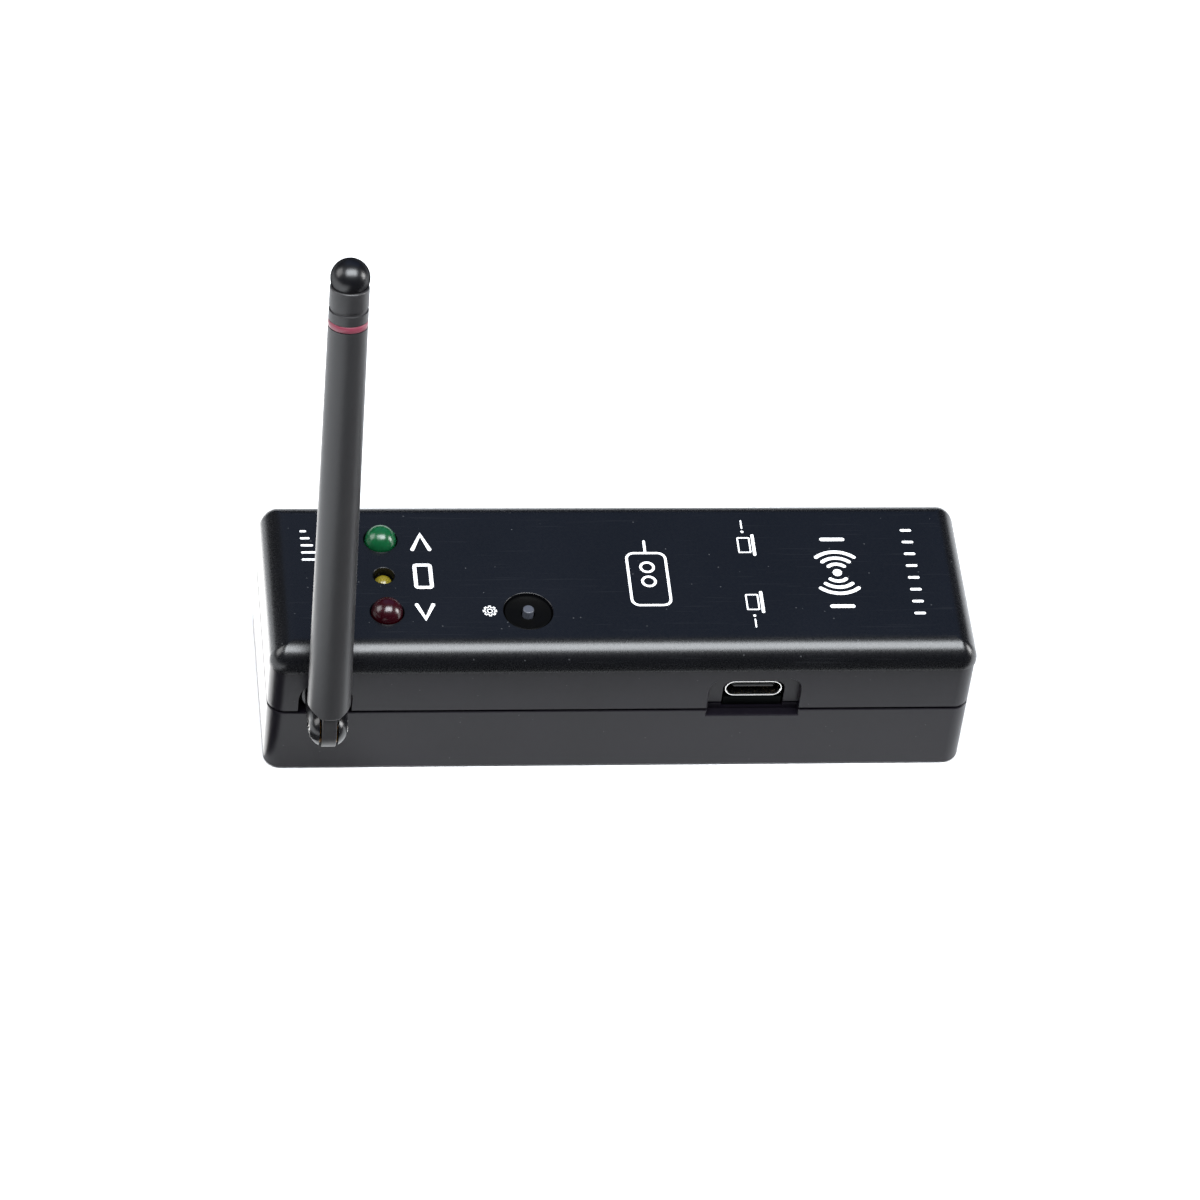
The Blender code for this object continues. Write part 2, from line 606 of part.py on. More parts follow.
def make_fork(finish):
    """The antenna's foot: forked ears, neck, and the barrel that turns in the wall."""
    barrel_start = HINGE_REACH + BARREL_SINK
    inner_wall = HINGE_REACH + INNER_INSET
    groove_low = inner_wall + FIT_GAP / 2
    groove_high = inner_wall + FIT_GAP + CLIP_THICKNESS + FIT_GAP / 2
    tail = groove_high + BARREL_TAIL
    neck = barrel_start + (inner_wall - barrel_start) / 2
    body = prism_x(side_outline(neck), FORK_RADIUS * 1.1)
    fork = new_object("antenna_fork", moved(body, HINGE), finish)
    bar = rod(FORK_RADIUS, -2 * EAR_RADIUS, neck + FIT_GAP, 48)
    combine(fork, moved(bar, HINGE, ALONG_Y), "INTERSECT")
    groove = BARREL_RADIUS - BARREL_GROOVE
    barrel = turned(((BARREL_RADIUS - SEAT_GAP, barrel_start), (BARREL_RADIUS, barrel_start + SEAT_GAP),
                     (BARREL_RADIUS, groove_low), (groove, groove_low), (groove, groove_high),
                     (BARREL_RADIUS, groove_high), (BARREL_RADIUS - SEAT_GAP, tail)), 48)
    join(fork, moved(barrel, HINGE, ALONG_Y))
    heel = (NECK_HALF + EAR_RADIUS * math.sin(LEAN)) / math.cos(LEAN)
    slot_back = EAR_RADIUS * math.cos(LEAN) + heel * math.sin(LEAN) + FIT_GAP
    slot = block(SLOT_HALF, (2 * EAR_RADIUS + slot_back) / 2, -2 * EAR_RADIUS, 2 * EAR_RADIUS)
    cut(fork, moved(slot, HINGE + Vector((0, slot_back / 2 - EAR_RADIUS, 0))))
    hole = rod(HINGE_PIN_RADIUS + HINGE_GAP, -2 * FORK_RADIUS, 2 * FORK_RADIUS, 24)
    cut(fork, moved(hole, HINGE, ALONG_X))
    bore = rod(CABLE_RADIUS + SEAT_GAP, 0, tail + FIT_GAP, 16)
    cut(fork, moved(bore, HINGE, ALONG_Y))
    return tail


def make_clip(finish):
    """The open spring ring that keeps the barrel in the wall."""
    low = -HALF_WIDTH + INNER_INSET + FIT_GAP
    inner = BARREL_RADIUS - BARREL_GROOVE + SEAT_GAP
    clip = new_object("barrel_clip", moved(tube_ring(CLIP_RADIUS, inner, 0, CLIP_THICKNESS),
                                           (ANTENNA_X, low, ANTENNA_HEIGHT), ALONG_Y), finish)
    mouth = block(inner * CLIP_MOUTH, CLIP_THICKNESS, 0, 2 * CLIP_RADIUS)
    cut(clip, moved(mouth, (ANTENNA_X, low + CLIP_THICKNESS / 2, ANTENNA_HEIGHT)))


def sleeve_radius(height):
    """The sleeve's radius at a distance from the hinge pin along its axis."""
    share = (height - SLEEVE_START) / (SLEEVE_TOP - SLEEVE_START)
    return SLEEVE_BASE_RADIUS + (SLEEVE_TIP_RADIUS - SLEEVE_BASE_RADIUS) * share


def make_antenna(sleeve_finish, ring_finish, tip_finish, brass, copper, steel):
    """Sleeve with its hinge tongue, coloured ring, ball tip, radiator, pin and washers."""
    lean = Matrix.Rotation(-LEAN, 4, "X")
    ring_low = SLEEVE_TOP - RING_DROP - RING_HEIGHT
    ring_high = SLEEVE_TOP - RING_DROP
    groove_low = SLEEVE_TOP - GROOVE_DROP - GROOVE_HEIGHT
    groove_high = SLEEVE_TOP - GROOVE_DROP
    seat = RING_THICKNESS + HINGE_GAP
    heights = (SLEEVE_START + SLEEVE_EDGE, ring_low - HINGE_GAP, ring_high + HINGE_GAP, groove_low,
               groove_high, SLEEVE_TOP - SLEEVE_EDGE)
    outer = [sleeve_radius(z) for z in heights]
    profile = [(POLE_RADIUS, SLEEVE_BORE_START), (SLEEVE_BORE, SLEEVE_BORE_START), (SLEEVE_BORE, SLEEVE_TOP),
               (outer[5] - SLEEVE_EDGE, SLEEVE_TOP), (outer[5], heights[5]), (outer[4], heights[4]),
               (outer[4] - GROOVE_DEPTH, heights[4] - GROOVE_DEPTH / 2),
               (outer[3] - GROOVE_DEPTH, heights[3] + GROOVE_DEPTH / 2), (outer[3], heights[3]),
               (outer[2], heights[2]), (outer[2] - seat, heights[2]), (outer[1] - seat, heights[1]),
               (outer[1], heights[1]), (outer[0], heights[0]),
               (outer[0] - SLEEVE_EDGE, SLEEVE_START), (POLE_RADIUS, SLEEVE_START)]
    sleeve = new_object("antenna_sleeve", moved(turned(profile, 40), HINGE, lean), sleeve_finish)
    outline = []
    steps = 16
    for step in range(steps + 1):
        angle = math.pi + math.pi * step / steps
        outline.append((EAR_RADIUS * math.cos(angle), EAR_RADIUS * math.sin(angle)))
    top = SLEEVE_START + SLEEVE_EDGE * 2
    outline += [(EAR_RADIUS, top), (-EAR_RADIUS, top)]
    join(sleeve, moved(prism_x(outline, TONGUE_THICKNESS / 2), HINGE, lean))
    hole = moved(rod(HINGE_PIN_RADIUS + HINGE_GAP, -FORK_RADIUS, FORK_RADIUS, 24), (0, 0, 0), ALONG_X)
    cut(sleeve, moved(hole, HINGE, lean))

    band_radius = sleeve_radius(ring_high)
    band = tube_ring(band_radius, band_radius - RING_THICKNESS, ring_low, ring_high, 40)
    new_object("antenna_ring", moved(band, HINGE, lean), ring_finish)

    low = SLEEVE_TOP + HINGE_GAP
    ball = [(SLEEVE_BORE - SEAT_GAP, low - 2 * SLEEVE_BORE), (SLEEVE_BORE - SEAT_GAP, low)]
    start = -math.asin((TIP_CENTRE - low) / SLEEVE_TIP_RADIUS)
    steps = 12
    for step in range(steps):
        angle = start + (math.pi / 2 - start) * step / steps
        ball.append((SLEEVE_TIP_RADIUS * math.cos(angle), TIP_CENTRE + SLEEVE_TIP_RADIUS * math.sin(angle)))
    ball.append((POLE_RADIUS, TIP_CENTRE + SLEEVE_TIP_RADIUS))
    new_object("antenna_tip", moved(turned(ball), HINGE, lean), tip_finish)

    wire = rod(RADIATOR_RADIUS, SLEEVE_BORE_START + SEAT_GAP, low - 2 * SLEEVE_BORE - SEAT_GAP, 12)
    new_object("antenna_radiator", moved(wire, HINGE, lean), copper)
    reach = math.sqrt(FORK_RADIUS ** 2 - HINGE_PIN_RADIUS ** 2)
    pin = rod(HINGE_PIN_RADIUS, -reach, reach, 24)
    new_object("hinge_pin", moved(pin, HINGE, ALONG_X), steel)
    near = TONGUE_THICKNESS / 2 + HINGE_GAP
    for label, side in (("left", -1), ("right", 1)):
        washer = tube_ring(HINGE_WASHER_RADIUS, HINGE_PIN_RADIUS + HINGE_GAP, side * near,
                           side * (near + HINGE_WASHER), 24)
        new_object(f"hinge_washer_{label}", moved(washer, HINGE, ALONG_X), brass)


def make_pigtail(tail, cable_finish, plug_finish):
    """The thin cable from the barrel to its snap plug on the board."""
    start = HINGE + Vector((0, tail + FIT_GAP, 0))
    plug_top = BOARD_TOP + SEAT_GAP + PLUG_HEIGHT
    end = Vector((*PLUG_PLACE, BOARD_TOP + SEAT_GAP + PLUG_HEIGHT / 2))
    end.y -= PLUG_RADIUS + FIT_GAP
    pull = (end - start).length / 2
    controls = (start, start + Vector((0, pull, 0)), end - Vector((0, pull, 0)), end)
    curve = bpy.data.curves.new("antenna_cable", "CURVE")
    curve.dimensions = "3D"
    curve.bevel_depth = CABLE_RADIUS
    curve.bevel_resolution = 2
    curve.use_fill_caps = True
    count = 9
    spline = curve.splines.new("POLY")
    spline.points.add(count - 1)
    for i in range(count):
        t = i / (count - 1)
        weights = ((1 - t) ** 3, 3 * t * (1 - t) ** 2, 3 * t * t * (1 - t), t ** 3)
        point = sum((c * w for c, w in zip(controls, weights)), Vector())
        spline.points[i].co = (*point, 1.0)
    curve.materials.append(cable_finish)
    cable = bpy.data.objects.new("antenna_cable", curve)
    bpy.context.scene.collection.objects.link(cable)
    plug = turned(((PLUG_RADIUS, BOARD_TOP + SEAT_GAP), (PLUG_RADIUS, plug_top - SEAT_GAP),
                   (PLUG_RADIUS - SEAT_GAP, plug_top)), 24)
    new_object("cable_plug", moved(plug, (*PLUG_PLACE, 0)), plug_finish)


def main():
    """Build every piece in place."""
    clear_scene()
    shell = material("shell_plastic", (0.018, 0.020, 0.026), 0.42)
    steel = material("steel", (0.62, 0.62, 0.64), 0.28, 1.0)
    brass = material("brass", (0.78, 0.52, 0.22), 0.35, 1.0)
    black = material("black_plastic", (0.012, 0.012, 0.013), 0.4)
    board = material("board_green", (0.015, 0.09, 0.04), 0.5)
    make_top_shell(shell)
    make_bottom_shell(shell)
    make_board(board)
    colours = {"lamp_green": (0.01, 0.30, 0.06), "lamp_amber": (0.60, 0.36, 0.03),
               "lamp_red": (0.25, 0.01, 0.02)}
    for name, sizes in lamp_places().items():
        make_lamp(name, *sizes, material(name, colours[name], 0.15))
    make_button(black, material("pin_grey", (0.20, 0.21, 0.24), 0.35), black)
    make_socket(-1, "front", steel, black)
    make_socket(1, "back", steel, black)
    make_board_parts(steel, black, steel)
    for label, side in (("left", -1), ("right", 1)):
        make_screw(f"case_screw_{label}", CASE_SCREW, CASE_SCREW_LENGTH, (side * CASE_SCREW_X, 0),
                   CASE_SCREW_RECESS, 1, steel)
    for name, place in BOARD_SCREW_PLACES.items():
        make_screw(name, BOARD_SCREW, BOARD_SCREW_LENGTH, place,
                   BOARD_TOP + SEAT_GAP + BOARD_SCREW[1], -1, steel)
    sleeve = material("antenna_plastic", (0.07, 0.07, 0.075), 0.38)
    tail = make_fork(sleeve)
    make_clip(steel)
    make_antenna(sleeve, material("ring_red", (0.25, 0.03, 0.05), 0.4), black, brass, brass, steel)
    make_pigtail(tail, black, brass)


main()
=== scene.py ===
# %% [markdown]
# # A desktop receiver, surface by surface
# A slim black box with three lamps, a settings button, USB-C sockets and a hinged stub
# antenna.  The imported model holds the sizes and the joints.  This lesson dresses it: each
# visible piece becomes a fine surface worked out with numpy, and each finish is a small
# node tree that reads Object coordinates.

# %% Load the frame
import json
import math

import bmesh
import bpy
import numpy as np
from mathutils import Matrix, Vector


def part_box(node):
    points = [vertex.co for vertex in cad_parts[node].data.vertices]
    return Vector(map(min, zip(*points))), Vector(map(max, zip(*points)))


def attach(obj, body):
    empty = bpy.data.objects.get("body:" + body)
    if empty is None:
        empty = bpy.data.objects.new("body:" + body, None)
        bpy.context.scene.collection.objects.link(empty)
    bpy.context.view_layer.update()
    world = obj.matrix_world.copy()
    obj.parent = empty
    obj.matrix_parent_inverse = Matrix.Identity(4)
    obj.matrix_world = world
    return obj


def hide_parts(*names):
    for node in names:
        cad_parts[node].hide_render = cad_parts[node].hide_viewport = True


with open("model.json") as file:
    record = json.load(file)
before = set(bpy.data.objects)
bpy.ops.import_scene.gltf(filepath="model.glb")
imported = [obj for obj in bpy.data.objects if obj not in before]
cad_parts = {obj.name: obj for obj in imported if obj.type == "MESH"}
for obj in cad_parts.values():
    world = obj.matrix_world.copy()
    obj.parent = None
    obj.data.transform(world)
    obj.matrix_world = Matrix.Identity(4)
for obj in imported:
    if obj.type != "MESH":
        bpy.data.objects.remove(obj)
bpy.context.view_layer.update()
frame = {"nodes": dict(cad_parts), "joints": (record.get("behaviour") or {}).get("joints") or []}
nodes = frame["nodes"]
joints = {joint["name"]: joint for joint in frame["joints"]}

# %% [markdown]
# Places come from the frame, so the looks follow the model if a size changes there.
# `low` and `high` are the corners of a node's box, and the hinge point is the joint's.

# %% Sizes read from the frame
MM = 0.001
cover_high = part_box("top_shell")[1]
tray_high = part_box("bottom_shell")[1]
TOP = cover_high[2]
HALF_LENGTH = cover_high[0]
HALF_WIDTH = cover_high[1]
RIM_STEP = HALF_LENGTH - tray_high[0]
PARTING_LOW = tray_high[2] - 1.65 * MM
PARTING_HIGH = PARTING_LOW + 0.4 * MM
HINGE = np.array(joints["antenna_tilt"]["pos_m"])
LEAN = math.radians(joints["antenna_tilt"]["range_deg"][1] - 90)
WALL = 2.2 * MM
COVER_RADIUS = 4.0 * MM
CORNER_RADIUS = 2.8 * MM
print("case", 2 * HALF_LENGTH, 2 * HALF_WIDTH, TOP, "parting", PARTING_LOW, PARTING_HIGH)

# %% [markdown]
# ## The camera
# A long lens looks down at the case from its front, turned a little to the left and
# rolled, as someone leaning over a table would hold it.  The axes are built by hand from
# three angles, because a roll is easier to state than to find with a Track To constraint.

# %% Camera
LENS = 177.5
DISTANCE = 0.9148
TURN = math.radians(10.84)
ELEVATION = math.radians(45.99)
ROLL = math.radians(-7.58)
AIM = Vector((1.0 * MM, 0, 12.0 * MM))
SLIDE = (-2.64 * MM, 5.40 * MM)


def aim_camera():
    """Right and up start level, then roll about the line of sight by ROLL."""
    side = Matrix.Rotation(-TURN, 3, "Z")
    forward = side @ Vector((0, math.cos(ELEVATION), -math.sin(ELEVATION)))
    level = side @ Vector((1, 0, 0))
    lift = level.cross(forward)
    right = math.cos(ROLL) * level - math.sin(ROLL) * lift
    up = math.sin(ROLL) * level + math.cos(ROLL) * lift
    data = bpy.data.cameras.new("camera")
    data.lens = LENS
    data.clip_start, data.clip_end = 0.01, 20
    camera = bpy.data.objects.new("camera", data)
    bpy.context.scene.collection.objects.link(camera)
    place = AIM - forward * DISTANCE + right * SLIDE[0] + up * SLIDE[1]
    turn = Matrix((right, up, -forward)).transposed().to_4x4()
    camera.matrix_world = Matrix.Translation(place) @ turn
    bpy.context.scene.camera = camera
    return camera


aim_camera()

# %% [markdown]
# ## Studio
# The floor is plain and pale.  One large box light hangs over the front edge: a rounded
# black edge mirrors it as the long bright line, so its place decides where that line
# falls.  Weaker boxes at the sides shape the antenna, and a blue one behind tints the
# flat cover.  Cards on the floor that only mirror rays can see keep the lower edge of
# the cover black and the left end white.

# %% Studio
scene = bpy.context.scene
scene.view_settings.view_transform = "Standard"


def plain_material(name, colour, roughness=0.6):
    """One even finish, for the studio only."""
    made = bpy.data.materials.new(name)
    made.use_nodes = True
    shader = made.node_tree.nodes["Principled BSDF"]
    shader.inputs["Base Color"].default_value = (*colour, 1)
    shader.inputs["Roughness"].default_value = roughness
    return made


def sheet(name, corners, finish):
    """A flat four-cornered sheet."""
    mesh = bpy.data.meshes.new(name)
    mesh.from_pydata([tuple(c) for c in corners], [], [(0, 1, 2, 3)])
    mesh.materials.append(finish)
    made = bpy.data.objects.new(name, mesh)
    scene.collection.objects.link(made)
    return made


def mirror_card(name, low, high, height, glow=0.0):
    """A card over the floor that only glossy rays meet: black, or white with a glow."""
    corners = [(low[0], low[1], height), (high[0], low[1], height),
               (high[0], high[1], height), (low[0], high[1], height)]
    finish_used = plain_material(name, (0.0, 0.0, 0.0), 1.0)
    shader = finish_used.node_tree.nodes["Principled BSDF"]
    shader.inputs["Emission Color"].default_value = (1, 1, 1, 1)
    shader.inputs["Emission Strength"].default_value = glow
    card = sheet(name, corners, finish_used)
    card.visible_camera = False
    card.visible_diffuse = False
    card.visible_shadow = False
    card.visible_transmission = False
    return card


def box_light(name, place, target, size, power, colour=(1, 1, 1)):
    """An area light that faces its target."""
    data = bpy.data.lights.new(name, "AREA")
    data.shape = "RECTANGLE"
    data.size, data.size_y = size
    data.energy = power
    data.color = colour
    made = bpy.data.objects.new(name, data)
    made.location = place
    made.rotation_euler = (Vector(target) - Vector(place)).to_track_quat("-Z", "Y").to_euler()
    scene.collection.objects.link(made)
    return made


FLOOR = 2.0
sheet("floor", [(-FLOOR, -FLOOR, 0), (FLOOR, -FLOOR, 0), (FLOOR, FLOOR, 0), (-FLOOR, FLOOR, 0)],
      plain_material("floor_white", (0.9, 0.9, 0.9)))
LOW = 0.2 * MM
FAR_FRONT = -HALF_WIDTH - 21 * MM
FAR_LEFT = -HALF_LENGTH - 28 * MM
FRONT_CORNER = -HALF_WIDTH + 2.5 * MM
mirror_card("card_front", (FAR_LEFT, -1.5), (1.5, FAR_FRONT), LOW)
mirror_card("card_corner", (FAR_LEFT, FAR_FRONT), (-HALF_LENGTH - MM, FRONT_CORNER), LOW)
mirror_card("card_bright", (FAR_LEFT, FRONT_CORNER), (-HALF_LENGTH - LOW, HALF_WIDTH + 60 * MM), LOW, 5.0)
box_light("light_over", (0.0, -0.21, 0.72), (0, 0, 0.02), (0.75, 0.40), 14, (0.93, 0.965, 1.0))
box_light("light_left", (-0.75, 0.10, 0.45), (0, 0, 0.03), (0.5, 0.5), 4)
box_light("light_right", (0.8, -0.05, 0.30), (0, 0, 0.03), (0.3, 0.4), 5)
box_light("light_back", (0.15, 0.75, 0.78), (0, 0, 0.02), (1.1, 0.8), 0.7, (0.26, 0.48, 1.0))
box_light("light_back_left", (-0.13, 0.34, 0.39), (-0.05, 0, 0.02), (0.30, 0.30), 0.03, (0.9, 0.92, 1.0))

world = bpy.data.worlds.new("studio")
scene.world = world
world.use_nodes = True
world.node_tree.nodes["Background"].inputs["Color"].default_value = (0.8, 0.85, 1.0, 1)
world.node_tree.nodes["Background"].inputs["Strength"].default_value = 0.04

# %% [markdown]
# ## Shapes as functions of two parameters
# Almost every piece here is a stack of rings: one parameter runs round the ring, the
# other through the stack.  `skin` joins such a stack into a closed mesh in one step.

# %% Skin a stack of rings
def skin(name, rings, loop=False, angle=30.0):
    """Quads between ring i and ring i+1 at every point j and j+1.

    rings is an array (stack, round, 3).  With loop the last ring joins the first, as in
    a washer; otherwise each end is closed by one face.  Points that coincide, as at a
    pole, are merged, and the normals are set to point outwards.
    """
    stack, around, _ = rings.shape
    index = np.arange(stack * around).reshape(stack, around)
    lower = index if loop else index[:-1]
    upper = np.roll(index, -1, axis=0) if loop else index[1:]
    quads = np.stack([lower, np.roll(lower, -1, 1), np.roll(upper, -1, 1), upper], -1)
    faces = quads.reshape(-1, 4).tolist()
    if not loop:
        faces += [index[0, ::-1].tolist(), index[-1].tolist()]
    mesh = bpy.data.meshes.new(name)
    mesh.from_pydata(rings.reshape(-1, 3).tolist(), [], faces)
    work = bmesh.new()
    work.from_mesh(mesh)
    bmesh.ops.remove_doubles(work, verts=work.verts, dist=1e-7)
    bmesh.ops.recalc_face_normals(work, faces=work.faces)
    work.to_mesh(mesh)
    work.free()
    made = bpy.data.objects.new(name, mesh)
    scene.collection.objects.link(made)
    return smooth(made, angle)


def smooth(piece, angle=30.0):
    """Shade smooth, with an edge kept sharp where faces turn by more than angle."""
    piece.data.shade_smooth()
    piece.data.set_sharp_from_angle(angle=math.radians(angle))
    return piece


# %% [markdown]
# A turned piece is a profile of (radius, height) pairs carried round an axis.  The axis is
# a point and three unit vectors, so the same function turns a lamp upright, a barrel
# along Y and a sleeve that leans.

# %% Turned pieces
UPRIGHT = np.eye(3)
ALONG_Y = np.array([[1, 0, 0], [0, 0, -1], [0, 1, 0]], float)
ALONG_Y_FLAT = np.array([[1, 0, 0], [0, 0, 1], [0, -1, 0]], float)
ALONG_X = np.array([[0, 1, 0], [0, 0, 1], [1, 0, 0]], float)
LEANING = np.array([[1, 0, 0], [0, math.cos(LEAN), -math.sin(LEAN)],
                    [0, math.sin(LEAN), math.cos(LEAN)]])


def turned(name, profile, place, axes=UPRIGHT, sides=96, loop=False, angle=30.0):
    """Point (r, h) at turn t goes to place + r cos t X + r sin t Y + h Z of the axes."""
    radius, height = np.array(profile, float).T
    turn = np.linspace(0, 2 * np.pi, sides, endpoint=False)
    local = np.stack([radius[:, None] * np.cos(turn), radius[:, None] * np.sin(turn),
                      np.repeat(height[:, None], sides, 1)], -1)
    return skin(name, local @ axes + np.array(place), loop, angle)


def arc(centre, radius, start, end, steps):
    """Points on a circle from start to end, in degrees."""
    turn = np.radians(np.linspace(start, end, steps))
    return [(centre[0] + radius * math.cos(t), centre[1] + radius * math.sin(t)) for t in turn]


# %% [markdown]
# The case is a rounded rectangle whose outline moves inwards as the profile rises over
# the cover's edge.  Each corner keeps its own arc, and the straight sides need no points.

# %% The case's outline
def outline(inset, corner=CORNER_RADIUS, per_corner=22):
    """Corner k is an arc from k to k+1 quarter turns about its own centre."""
    radius = max(corner - inset, 0.2 * MM)
    quarter = (np.arange(4)[:, None] + np.linspace(0, 1, per_corner)) * np.pi / 2
    side_x = np.array([1, -1, -1, 1])[:, None]
    side_y = np.array([1, 1, -1, -1])[:, None]
    x = side_x * (HALF_LENGTH - inset - radius) + radius * np.cos(quarter)
    y = side_y * (HALF_WIDTH - inset - radius) + radius * np.sin(quarter)
    return np.stack([x.ravel(), y.ravel()], -1)


def shell(name, profile):
    """A closed shell: profile is a list of (inset, z), inner wall first."""
    rings = []
    for inset, z in profile:
        flat = outline(inset)
        rings.append(np.column_stack([flat, np.full(len(flat), z)]))
    return skin(name, np.array(rings), angle=40.0)


def extruded(name, points, low, high, axes=UPRIGHT, place=(0, 0, 0), angle=30.0):
    """A flat outline carried straight from low to high along the third axis."""
    flat = np.array(points, float)
    rings = [np.column_stack([flat, np.full(len(flat), h)]) for h in (low, high)]
    return skin(name, np.array(rings) @ axes + np.array(place), angle=angle)


# %% [markdown]
# Holes and pockets are taken out with a Boolean.  The tool flares over its last tenth of a
# millimetre, so the cut leaves the small rounded lip that a moulding has, and that lip is
# what catches the light.  The result is applied at once, and the tools are deleted.

# %% Cutting
def apply_all(piece):
    """Replace the mesh by what its modifiers make of it."""
    evaluated = piece.evaluated_get(bpy.context.evaluated_depsgraph_get())
    result = bpy.data.meshes.new_from_object(evaluated)
    piece.modifiers.clear()
    piece.data = result
    return piece


def carve(piece, tools, operation="DIFFERENCE"):
    """Boolean each tool with the piece in turn."""
    for tool in tools:
        step = piece.modifiers.new(operation.title(), "BOOLEAN")
        step.operation = operation
        step.solver = "EXACT"
        step.object = tool
    apply_all(piece)
    for tool in tools:
        bpy.data.objects.remove(tool)
    return piece


def weigh_normals(piece, angle=35.0):
    """Let the large faces decide the shading beside a cut."""
    smooth(piece, angle)
    step = piece.modifiers.new("Weighted", "WEIGHTED_NORMAL")
    step.keep_sharp = True
    step.weight = 90
    return apply_all(piece)


def flared_hole(radius, low, high, lip=0.12 * MM):
    """A round tool that widens by lip just under high."""
    curve = arc((radius + lip, high - lip), lip, 180, 90, 6)
    return [(radius, low), *curve, (radius + lip, high + 1 * MM)]


# %% [markdown]
# ## Finishes
# Effects that several finishes share are node groups: fine moulding grain, stray dust, and
# hairline rub marks.  A group puts out values that change over the surface, and the
# shader stays in the material, where its plain numbers sit on its own sockets.

# %% Shared effects
def group(name, inputs, outputs):
    """An empty shader group with named float sockets."""
    made = bpy.data.node_groups.new(name, "ShaderNodeTree")
    for label, value in inputs.items():
        socket = made.interface.new_socket(label, in_out="INPUT", socket_type="NodeSocketFloat")
        socket.default_value = value
    for label in outputs:
        made.interface.new_socket(label, in_out="OUTPUT", socket_type="NodeSocketFloat")
    return made, made.nodes.new("NodeGroupInput"), made.nodes.new("NodeGroupOutput")


def node(tree, kind, **settings):
    """Add a node and set its properties."""
    made = tree.nodes.new(kind)
    for label, value in settings.items():
        setattr(made, label, value)
    return made


def ramp(tree, source, low, high):
    """Stretch a value so that low becomes 0 and high becomes 1, clamped."""
    made = node(tree, "ShaderNodeMapRange", clamp=True)
    made.inputs["From Min"].default_value = low
    made.inputs["From Max"].default_value = high
    tree.links.new(source, made.inputs["Value"])
    return made.outputs["Result"]


def grain_group():
    """Two sizes of noise: the spark-eroded skin of a moulding, and its slow waviness."""
    tree, inputs, outputs = group("moulding_grain", {"Size": 2600.0, "Wave": 60.0}, ("Height", "Shade"))
    place = node(tree, "ShaderNodeTexCoord")
    fine = node(tree, "ShaderNodeTexNoise")
    fine.inputs["Detail"].default_value = 3.0
    slow = node(tree, "ShaderNodeTexNoise")
    slow.inputs["Detail"].default_value = 2.0
    for noise, label in ((fine, "Size"), (slow, "Wave")):
        tree.links.new(place.outputs["Object"], noise.inputs["Vector"])
        tree.links.new(inputs.outputs[label], noise.inputs["Scale"])
    tree.links.new(fine.outputs["Fac"], outputs.inputs["Height"])
    tree.links.new(slow.outputs["Fac"], outputs.inputs["Shade"])
    return tree


def speck_group():
    """Dust: the centres of widely spaced Voronoi cells, thinned by a second noise."""
    tree, inputs, outputs = group("dust_specks", {"Spacing": 900.0, "Radius": 0.10}, ("Mask",))
    place = node(tree, "ShaderNodeTexCoord")
    cells = node(tree, "ShaderNodeTexVoronoi")
    tree.links.new(place.outputs["Object"], cells.inputs["Vector"])
    tree.links.new(inputs.outputs["Spacing"], cells.inputs["Scale"])
    near = node(tree, "ShaderNodeMath", operation="LESS_THAN")
    tree.links.new(cells.outputs["Distance"], near.inputs[0])
    tree.links.new(inputs.outputs["Radius"], near.inputs[1])
    split = node(tree, "ShaderNodeSeparateColor")
    tree.links.new(cells.outputs["Color"], split.inputs["Color"])
    few = node(tree, "ShaderNodeMath", operation="GREATER_THAN")
    few.inputs[1].default_value = 0.86
    tree.links.new(split.outputs["Red"], few.inputs[0])
    both = node(tree, "ShaderNodeMath", operation="MULTIPLY")
    tree.links.new(near.outputs[0], both.inputs[0])
    tree.links.new(few.outputs[0], both.inputs[1])
    tree.links.new(both.outputs[0], outputs.inputs["Mask"])
    return tree


def rub_group():
    """Hairlines: a noise squeezed along one direction and cut to its narrow middle band."""
    tree, inputs, outputs = group("rub_marks", {"Length": 90.0, "Width": 3200.0}, ("Mask",))
    place = node(tree, "ShaderNodeTexCoord")
    scale = node(tree, "ShaderNodeCombineXYZ")
    tree.links.new(inputs.outputs["Length"], scale.inputs["X"])
    tree.links.new(inputs.outputs["Width"], scale.inputs["Y"])
    tree.links.new(inputs.outputs["Width"], scale.inputs["Z"])
    squeeze = node(tree, "ShaderNodeMapping")
    squeeze.inputs["Rotation"].default_value = (0, 0, math.radians(12))
    tree.links.new(place.outputs["Object"], squeeze.inputs["Vector"])
    tree.links.new(scale.outputs[0], squeeze.inputs["Scale"])
    noise = node(tree, "ShaderNodeTexNoise")
    noise.inputs["Scale"].default_value = 1.0
    noise.inputs["Detail"].default_value = 1.0
    tree.links.new(squeeze.outputs[0], noise.inputs["Vector"])
    tree.links.new(ramp(tree, noise.outputs["Fac"], 0.66, 0.74), outputs.inputs["Mask"])
    return tree


GRAIN, SPECKS, RUBS = grain_group(), speck_group(), rub_group()

# %% [markdown]
# `finish` writes most plastics and metals: a base colour that drifts with the slow noise,
# dust and rub marks that lighten it, roughness that follows the fine grain, and grain as a bump.

# %% A general finish
def place_group(tree, effect, **values):
    """Put a shared effect into a material with its own values."""
    made = node(tree, "ShaderNodeGroup", node_tree=effect)
    for label, value in values.items():
        made.inputs[label].default_value = value
    return made


def mix_colour(tree, factor, first, second):
    """Blend two colours; each may be a socket or three numbers."""
    made = node(tree, "ShaderNodeMix", data_type="RGBA")
    tree.links.new(factor, made.inputs["Factor"])
    for socket, colour in ((made.inputs["A"], first), (made.inputs["B"], second)):
        if isinstance(colour, tuple):
            socket.default_value = (*colour, 1)
        else:
            tree.links.new(colour, socket)
    return made.outputs["Result"]


